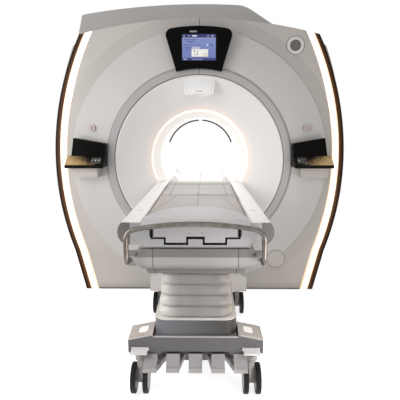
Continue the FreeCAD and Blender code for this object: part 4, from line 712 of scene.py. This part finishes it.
# tyre with a fine tread round a light hub; the wheel's axle is the middle of its circle
def wheelMaterial(name, axle):
    net = Net(name)
    across, up = net.y - axle, net.z - wheels["height"]
    reach = (across ** 2 + up ** 2) ** 0.5
    turn = net.maths("ARCTAN2", up, across)
    tyre = net.rise(reach, wheels["tyre"], wheels["tyre"] + 0.001)
    tread = (turn * 60).sine() * net.rise(reach, wheels["tread"], wheels["tread"] + 0.001)
    spokes = net.band(reach, wheels["spokes"], 0.011, 0.002) * net.rise((turn * 5).sine(), 0.2, 0.4)
    groove = net.band(reach, wheels["groove"], 0.0012, 0.001)
    grey = net.mix(spokes, tone(170, 166, 164), tone(120, 116, 114))
    rubber = net.mix(net.noise(220.0, 3.0), tone(9, 9, 9), tone(24, 23, 22))
    colour = net.mix(tyre, net.mix(groove, grey, tone(60, 58, 57)), rubber)
    height = tread * 0.6 - spokes - groove + net.noise(600.0, 1.0) * 0.15
    return net.surface({"Base Color": colour, "Roughness": 0.35 + tyre * 0.3, "Specular IOR Level": 0.3,
                        "Normal": net.bump(height, 0.0008)})


forkPaint = moulded("fork_paint", tone(158, 155, 153), greyLook)
for end, axle in wheels["axles"].items():
    corners = [end + "_left", end + "_right"]
    dress(wheelMaterial(end + "_wheels", axle), *["caster_wheels_" + corner for corner in corners])
    dress(forkPaint, *["caster_fork_" + corner for corner in corners])


# brushed or polished metal: lines along one axis break up its gloss; depth is how dark its dark lines are
def metal(name, colour, rough, lines, depth=0.2):
    net = Net(name)
    stretched = net.node("ShaderNodeVectorMath", {"operation": "MULTIPLY"}, {0: net.spot, 1: lines})
    brush = net.noise(1.0, 3.0, stretched)
    smudge = net.noise(9.0, 4.0)
    deep = tuple(part * (1 - depth) for part in colour[:3]) + (1.0,)
    dark = smudge * 0.3 + net.rise(brush, 0.3, 0.65) * 0.7
    return net.surface({"Base Color": net.mix(dark, colour, deep), "Metallic": 1.0,
                        "Roughness": rough + brush * 0.08 + smudge * 0.06 - 0.05,
                        "Normal": net.bump(brush, 0.00003)})


dress(metal("handle_metal", tone(134, 126, 120), 0.16, (40.0, 40.0, 40.0), 0.4), "handle")
columnMetal = metal("column_metal", tone(198, 198, 200), 0.34, (700.0, 700.0, 20.0))
dress(columnMetal, "lift_column_inner", "lift_column_outer")
dress(metal("head_metal", tone(180, 180, 184), 0.36, (500.0, 500.0, 30.0)), "cold_head")
vesselLook = {"rough": 0.4, "drift": 0.05, "depth": 0.0002, "grain": 60.0}
dress(moulded("vessel_paint", tone(206, 207, 210), vesselLook), "magnet_vessel")
dress(moulded("foot_paint", tone(110, 110, 114), steelLook), "magnet_feet")


# cast resin over windings, which show as fine rings along the bore
def windings(net):
    return net.rise((net.y * 420).sine(), 0.7, 0.95) * 0.5


resinLook = {"rough": 0.5, "drift": 0.15, "depth": 0.0003, "seam": tone(96, 78, 54)}
dress(moulded("coil_resin", tone(150, 128, 96), resinLook, windings), "gradient_coil", "body_coil")
print("materials done")


# meshes: quads over a grid of point numbers, rows by columns
def gridQuads(index):
    return np.stack([index[:-1, :-1], index[:-1, 1:], index[1:, 1:], index[1:, :-1]], axis=-1).reshape(-1, 4)


def newMesh(name, points, faces):
    mesh = bpy.data.meshes.new(name)
    mesh.from_pydata(points.reshape(-1, 3).tolist(), [], faces)
    mesh.update()
    return mesh


def coordinates(mesh):
    points = np.empty(len(mesh.vertices) * 3)
    mesh.vertices.foreach_get("co", points)
    return points.reshape(-1, 3)


def setCoordinates(mesh, points):
    mesh.vertices.foreach_set("co", points.ravel())
    mesh.update()


def makeSmooth(mesh):
    mesh.polygons.foreach_set("use_smooth", np.full(len(mesh.polygons), True))


def newPiece(name, mesh, material):
    piece = bpy.data.objects.new(name, mesh)
    scene.collection.objects.link(piece)
    mesh.materials.append(material)
    makeSmooth(mesh)
    return piece


# a rounded rectangle seen from above: four quarter circles joined by straight sides, each of them with the
# same count of points whatever its size
def roundedLoop(left, right, near, far, radius, count):
    turns = np.linspace(0, math.pi / 2, count)
    corners = ((right - radius, near + radius, -math.pi / 2), (right - radius, far - radius, 0),
               (left + radius, far - radius, math.pi / 2), (left + radius, near + radius, math.pi))
    rounds = []
    for across, along, start in corners:
        around = turns + start
        rounds.append(np.stack([across + radius * np.cos(around), along + radius * np.sin(around)], axis=1))
    sides = []
    steps = np.linspace(0, 1, count + 2)[1:-1, None]
    for first, second in zip(rounds, rounds[1:] + rounds[:1]):
        sides += [first, first[-1] * (1 - steps) + second[0] * steps]
    return np.concatenate(sides)


# bellows: half its width, its two ends, its foot and top, its corners' radius, its folds, the rings in a fold
# and the points in a corner, how deep its creases are, how far its foot spreads, and its middle
bellows = {"half": 0.173, "near": -1.48, "far": -0.845, "low": 0.4103, "high": 0.6267, "round": 0.062,
           "folds": 4, "rings": 14, "corner": 14, "depth": 0.011, "skirt": 0.014, "middle": -1.16}


def bellowsCloth():
    net = Net("bellows_cloth")
    # woven grey cloth, with a painted highlight on its left side and a painted warm reflection on its right
    weave = net.noise(700.0, 2.0) * 0.6 + (net.z * 5200).sine() * 0.12
    left, right = 1 - net.rise(net.x, -0.168, -0.07), net.rise(net.x, 0.13, 0.17)
    colour = net.mix(net.rise(net.noise(6.0, 3.0), 0.3, 0.7), tone(129, 126, 123), tone(143, 139, 136))
    colour = net.mix(left * 0.75, colour, tone(205, 201, 194))
    colour = net.mix(right * 0.3, colour, tone(184, 162, 126))
    # painted shade, darker in the creases between the folds
    fold = (bellows["high"] - bellows["low"]) / bellows["folds"]
    creaseShade = net.rise(abs(net.maths("FRACT", (net.z - bellows["low"]) / fold) - 0.5), 0.24, 0.5)
    colour = net.mix(creaseShade ** 1.6 * 0.45, colour, tone(100, 94, 89))
    return net.surface({"Base Color": colour, "Roughness": 0.4 - left.most(right) * 0.12,
                        "Sheen Weight": 0.1, "Coat Weight": 0.4, "Coat Roughness": 0.16,
                        "Normal": net.bump(weave, 0.0003)})


# each fold swells between two creases, most in its lower half, and the cloth wavers a little round the sleeve
def makeBellows():
    folds, low, high = bellows["folds"], bellows["low"], bellows["high"]
    levels = np.linspace(0, 1, folds * bellows["rings"] + 1)
    swell = np.power(np.abs(np.sin(math.pi * np.power((levels * folds) % 1.0, 0.72))), 0.6)
    rings = []
    for level, full in zip(levels, swell):
        pull = bellows["depth"] * (1 - full) + 0.0015 - bellows["skirt"] * (1 - level) ** 2
        loop = roundedLoop(pull - bellows["half"], bellows["half"] - pull, bellows["near"] + pull,
                           bellows["far"] - pull, bellows["round"] - pull / 2, bellows["corner"])
        rings.append(np.column_stack([loop, np.full(len(loop), low + (high - low) * level)]))
    points = np.array(rings)
    around = np.arctan2(points[..., 1] - bellows["middle"], points[..., 0])
    rising = levels[:, None]
    waver = 0.0011 * np.sin(7 * around + 9 * rising) + 0.0008 * np.sin(13 * around - 21 * rising)
    waver *= swell[:, None]
    out = np.dstack([np.cos(around), np.sin(around)])
    points[..., :2] += out * waver[..., None]
    index = np.arange(around.size).reshape(around.shape)
    sleeve = gridQuads(np.column_stack([index, index[:, 0]])).tolist()
    mesh = newMesh("bellows_sleeve", points, sleeve + [index[0, ::-1].tolist(), index[-1].tolist()])
    piece = newPiece("bellows_sleeve", mesh, bellowsCloth())
    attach(piece, "table_top")
    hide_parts("bellows")
    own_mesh(piece)


makeBellows()
print("bellows done")


# pads: half their width, their underside and flat top, how high the cloth may rise, their edges' radius, the
# size of the cloth's squares, how far a point may move, the simulation's pressure and steps, and the columns
# of their grid
pads = {"half": 0.254, "low": 0.8606, "high": 0.8832, "crown": 0.887, "round": 0.007, "voxel": 0.0065,
        "cap": 0.0045, "pressure": 4, "steps": 20, "columns": 76}
# the seams beside the middle one: on the two sides, where they lean over the front pad from its rear edge on,
# and one across that pad; how wide they are, and the height from which on they sink
seams = {"side": 0.1915, "sideFront": 0.139, "lean": 0.159, "bend": -0.631, "cross": -0.719,
         "width": 0.004, "from": 0.872, "fade": 0.006}
# the arch round the foot wedge: its middle arc and the arc of its two sides, each with its middle across and
# along and its radius, where they meet, and how far the horns reach
arch = {"arcs": ((0.0, -1.2927, 0.211), (-0.2036, -1.4436, 0.463)), "meet": 0.187, "horns": -1.3}


# how far forward the front pad reaches: a circle round each arc's middle, cut off at the horns
def archFront(x):
    middle, side = (along + np.sqrt(np.clip(radius ** 2 - (np.abs(x) - across) ** 2, 0, None))
                    for across, along, radius in arch["arcs"])
    return np.maximum(np.where(np.abs(x) < arch["meet"], middle, side), arch["horns"])


def straightFront(place):
    return lambda x: np.full(x.shape, place)


# a slab between two layers of a grid, whose edges are drawn in and rounded over by a quarter circle
def padSlab(name, front, rear):
    half, edge = pads["half"], pads["round"]
    across = np.linspace(-half, half, pads["columns"])
    along = np.linspace(0, 1, max(8, int((rear - front(np.zeros(1))[0]) / pads["voxel"])))
    start = front(across)
    y = start[None, :] + (rear - start)[None, :] * along[:, None]
    x = np.broadcast_to(across, y.shape)
    inward = np.minimum(half - np.abs(x), np.minimum(y - start[None, :], rear - y))
    drop = edge - np.sqrt(np.clip(edge ** 2 - np.clip(edge - inward, 0, edge) ** 2, 0, None))
    upper = np.dstack([x, y, pads["high"] - drop])
    lower = np.dstack([x, y, np.full(x.shape, pads["low"])])
    index = np.arange(x.size).reshape(x.shape)
    quads = gridQuads(index)
    rim = np.concatenate([index[0, :-1], index[:-1, -1], index[-1, :0:-1], index[:0:-1, 0]])
    after = np.roll(rim, -1)
    walls = np.stack([after, rim, rim + x.size, after + x.size], axis=-1)
    faces = np.concatenate([quads, quads[:, ::-1] + x.size, walls])
    return newMesh(name, np.stack([upper, lower]), faces.tolist())


# the mesh as its modifiers leave it
def settled(piece):
    depsgraph = bpy.context.evaluated_depsgraph_get()
    mesh = bpy.data.meshes.new_from_object(piece.evaluated_get(depsgraph))
    piece.modifiers.clear()
    return mesh


# cloth blown up from inside; each point stays within the cap of where it began, and the underside stays flat
def inflate(piece):
    remesh = piece.modifiers.new("remesh", "REMESH")
    remesh.mode, remesh.voxel_size = "VOXEL", pads["voxel"]
    piece.data = settled(piece)
    before = coordinates(piece.data)
    cloth = piece.modifiers.new("cloth", "CLOTH")
    cloth.settings.use_pressure = True
    cloth.settings.uniform_pressure_force = pads["pressure"]
    cloth.settings.effector_weights.gravity = 0
    for step in range(1, pads["steps"] + 1):
        scene.frame_set(step)
    swollen = settled(piece)
    moved = coordinates(swollen) - before
    length = np.linalg.norm(moved, axis=1, keepdims=True)
    after = before + moved * np.minimum(1, pads["cap"] / np.maximum(length, 1e-9))
    after[:, 2] = np.clip(after[:, 2], pads["low"], pads["crown"])
    setCoordinates(swollen, after)
    piece.data = swollen
    scene.frame_set(1)


# sewn channels: the top sinks along lines, as a narrow bell across each; a line is across the pad at a place
# along it, or along the pad at a distance from the middle that may lean
def sewChannels(mesh, lines):
    points = coordinates(mesh)
    top = np.clip((points[:, 2] - seams["from"]) / seams["fade"], 0, 1)
    sink = np.zeros(len(points))
    for way, place, lean, depth in lines:
        spot = points[:, 1]
        if way == "along":
            spot = np.abs(points[:, 0]) + lean * (points[:, 1] - seams["bend"])
        sink = np.maximum(sink, depth * np.exp(-((spot - place) / seams["width"]) ** 2))
    points[:, 2] -= sink * top
    setCoordinates(mesh, points)


def cushionMaterial():
    net = Net("cushion_vinyl")
    # grained grey vinyl, rosier towards the sides of the front pad
    pores = {"Vector": net.spot, "Scale": 420.0}
    cells = net.node("ShaderNodeTexVoronoi", {"feature": "DISTANCE_TO_EDGE"}, pores)
    side = net.rise(abs(net.x), 0.15, 0.235)
    front = 1 - net.rise(net.y, -0.8, -0.45)
    colour = net.mix(net.rise(net.noise(2.4, 3.0), 0.3, 0.7), tone(172, 168, 164), tone(183, 180, 176))
    colour = net.mix(side * front * 0.5, colour, tone(186, 169, 162))
    # short stitches along the seams
    ends = net.band(net.y, -0.63, 0.0006, 0.0006).most(net.band(net.y, -0.716, 0.0006, 0.0006))
    rear = net.rise(net.y, -0.628, -0.624)
    leaning = seams["sideFront"] - (net.y - seams["bend"]) * seams["lean"]
    lean = abs(net.x) - rear * seams["side"] - (1 - rear) * leaning
    sides = net.band(lean, 0.0, 0.0006, 0.0006).most(net.band(net.x, 0.0, 0.0008, 0.0006))
    acrossStitch, alongStitch = (net.rise((way * 900).sine(), -0.2, 0.1) for way in (net.x, net.y))
    stitch = ends * acrossStitch + sides * alongStitch
    # the shade in the seams and on the edge of the arch
    fold = net.band(lean, 0.0, 0.001, 0.003).most(net.band(net.y, seams["cross"], 0.001, 0.003))
    fold = fold.most(net.band(net.x, 0.0, 0.0012, 0.003))
    middle, outer = (((abs(net.x) - across) ** 2 + (net.y - along) ** 2) ** 0.5 - radius
                     for across, along, radius in arch["arcs"])
    inner = 1 - net.rise(abs(net.x), arch["meet"] - 0.0005, arch["meet"] + 0.0005)
    fold = fold.most(1 - net.rise(outer + (middle - outer) * inner, 0.003, 0.01))
    colour = net.mix(fold * 0.7, colour, tone(124, 114, 108))
    colour = net.mix(stitch.least(1.0) * 0.6, colour, tone(128, 122, 119))
    height = net.rise(cells, 0.0, 0.12) * 0.35 + net.noise(26.0, 4.0) * 0.9 - stitch * 1.5
    return net.surface({"Base Color": colour, "Roughness": 0.52 + net.noise(12.0, 3.0) * 0.14,
                        "Sheen Weight": 0.04, "Normal": net.bump(height, 0.00035)})


def makePads():
    cushion = cushionMaterial()
    middle = ("along", 0.0, 0.0, 0.003)
    sides = ("along", seams["side"], 0.0, 0.0022)
    # each pad: its front edge, its rear edge and its sewn channels
    rows = {"pad_front": (archFront, -0.631, [middle, ("along", seams["sideFront"], seams["lean"], 0.0024),
                                              ("across", seams["cross"], 0.0, 0.0022)]),
            "pad_middle": (straightFront(-0.621), -0.059, [middle, sides]),
            "pad_head": (straightFront(-0.049), 0.154, [middle, sides])}
    for name, (front, rear, lines) in rows.items():
        piece = newPiece(name, padSlab(name, front, rear), cushion)
        inflate(piece)
        piece.data.materials.clear()
        piece.data.materials.append(cushion)
        sewChannels(piece.data, lines)
        makeSmooth(piece.data)
        smooth = piece.modifiers.new("smooth", "SUBSURF")
        smooth.levels = smooth.render_levels = 1
        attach(piece, "cradle")
    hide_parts("cradle_pads")


makePads()
print("pads done")


# light
def newLamp(name, kind, place, power, colour, mirrored):
    lamp = bpy.data.objects.new(name, bpy.data.lights.new(name, kind))
    scene.collection.objects.link(lamp)
    lamp.data.energy, lamp.data.color = power, colour
    lamp.location = place
    lamp.visible_camera, lamp.visible_glossy = False, mirrored
    return lamp


# a soft panel of light; only a panel with the full spread shows in reflections
def softLamp(name, place, target, size, power, colour, spread=180):
    lamp = newLamp(name, "AREA", place, power, colour, spread == 180)
    lamp.data.shape = "RECTANGLE"
    lamp.data.size, lamp.data.size_y = size
    lamp.data.spread = math.radians(spread)
    lamp.rotation_euler = (Vector(target) - lamp.location).to_track_quat("-Z", "Y").to_euler()


# each with its place, what it points at, its width and height, watts and tint, and its spread in degrees
plainWhite = (1.0, 1.0, 1.0)
softLamp("key", (-2.0, -1.9, 1.35), (-0.6, 0.0, 1.15), (1.2, 1.6), 24, (1.0, 0.99, 0.985))
softLamp("high", (-1.5, -3.4, 2.45), (-0.3, 0.0, 1.6), (1.5, 0.9), 8, plainWhite)
softLamp("low", (1.1, -2.3, 0.45), (0.75, 0.0, 0.45), (1.2, 0.6), 9, (1.0, 0.97, 0.94))
softLamp("over", (0.0, -1.1, 2.3), (0.0, -0.95, 0.88), (0.8, 1.2), 3.3, plainWhite, 80)
softLamp("mouth", (0.0, -0.6, 1.15), (0.0, 0.2, 1.1), (0.9, 0.4), 0.75, plainWhite, 150)
for side in (-1, 1):
    softLamp("wing", (side * 0.85, -2.2, 1.15), (side * 0.27, -1.45, 0.33), (0.3, 0.3), 0.62, plainWhite, 40)
softLamp("back", (0.0, 4.2, 2.2), (0.0, 1.0, 1.1), (2.5, 2.0), 40, plainWhite)

# the light that the bore's own ring throws on its surroundings
for name, along, power in (("throat", 0.3, 0.55), ("tunnel", 0.95, 2.0)):
    lamp = newLamp(name, "POINT", (0.0, along, 1.12), power, (1.0, 0.98, 0.95), False)
    lamp.data.shadow_soft_size = 0.12


# 1 for what the camera, reflections and glass see, 0 for the light that falls on the object
def seenDirectly(tree):
    rays = tree.node("ShaderNodeLightPath", {}, {}, "Is Camera Ray")
    glossy, passing = (Wire(tree, rays.socket.node.outputs[name])
                       for name in ("Is Glossy Ray", "Is Transmission Ray"))
    return rays.most(glossy).most(passing)


# white surroundings that light the object with a third of their brightness
world = bpy.data.worlds.new("studio")
world.use_nodes = True
scene.world = world
sky = Tree(world.node_tree)
plain = sky.node("ShaderNodeBackground", {}, {"Color": (0.34, 0.34, 0.345, 1.0), "Strength": 1.0})
bright = sky.node("ShaderNodeBackground", {}, {"Color": (1.0, 1.0, 1.0, 1.0), "Strength": 1.0})
either = sky.node("ShaderNodeMixShader", {}, {0: seenDirectly(sky), 1: plain, 2: bright})
sky.node("ShaderNodeOutputWorld", {}, {"Surface": either})

# the floor: half its size, where its fading starts and ends, and its glow for the camera
floorPlan = {"half": 30.0, "near": 2.6, "far": 4.6, "glow": 0.76}


# pale floor that keeps the object's shadow and fades into the white surroundings
def makeFloor():
    net = Net("studio_floor")
    reach = (net.x ** 2 + net.y ** 2) ** 0.5
    direct = seenDirectly(net)
    white = (1.0, 1.0, 1.0, 1.0)
    matte = {"Base Color": net.mix(net.noise(3.0, 3.0), tone(232, 231, 230), tone(238, 237, 236)),
             "Roughness": 0.7}
    unlit = net.node("ShaderNodeBsdfPrincipled", {}, matte)
    lit = net.node("ShaderNodeBsdfPrincipled", {},
                   {**matte, "Emission Color": white, "Emission Strength": floorPlan["glow"]})
    near = net.node("ShaderNodeMixShader", {}, {0: direct, 1: unlit, 2: lit})
    far = net.node("ShaderNodeEmission", {}, {"Color": white, "Strength": 1.0})
    share = net.rise(reach, floorPlan["near"], floorPlan["far"]) * direct
    faded = net.node("ShaderNodeMixShader", {}, {0: share, 1: near, 2: far})
    net.node("ShaderNodeOutputMaterial", {}, {"Surface": faded})
    half = floorPlan["half"]
    corners = np.array([(-half, -half, 0), (half, -half, 0), (half, half, 0), (-half, half, 0)])
    mesh = newMesh("floor", corners, [(0, 1, 2, 3)])
    mesh.materials.append(net.material)
    floor = bpy.data.objects.new("floor", mesh)
    scene.collection.objects.link(floor)


makeFloor()
print("studio done")
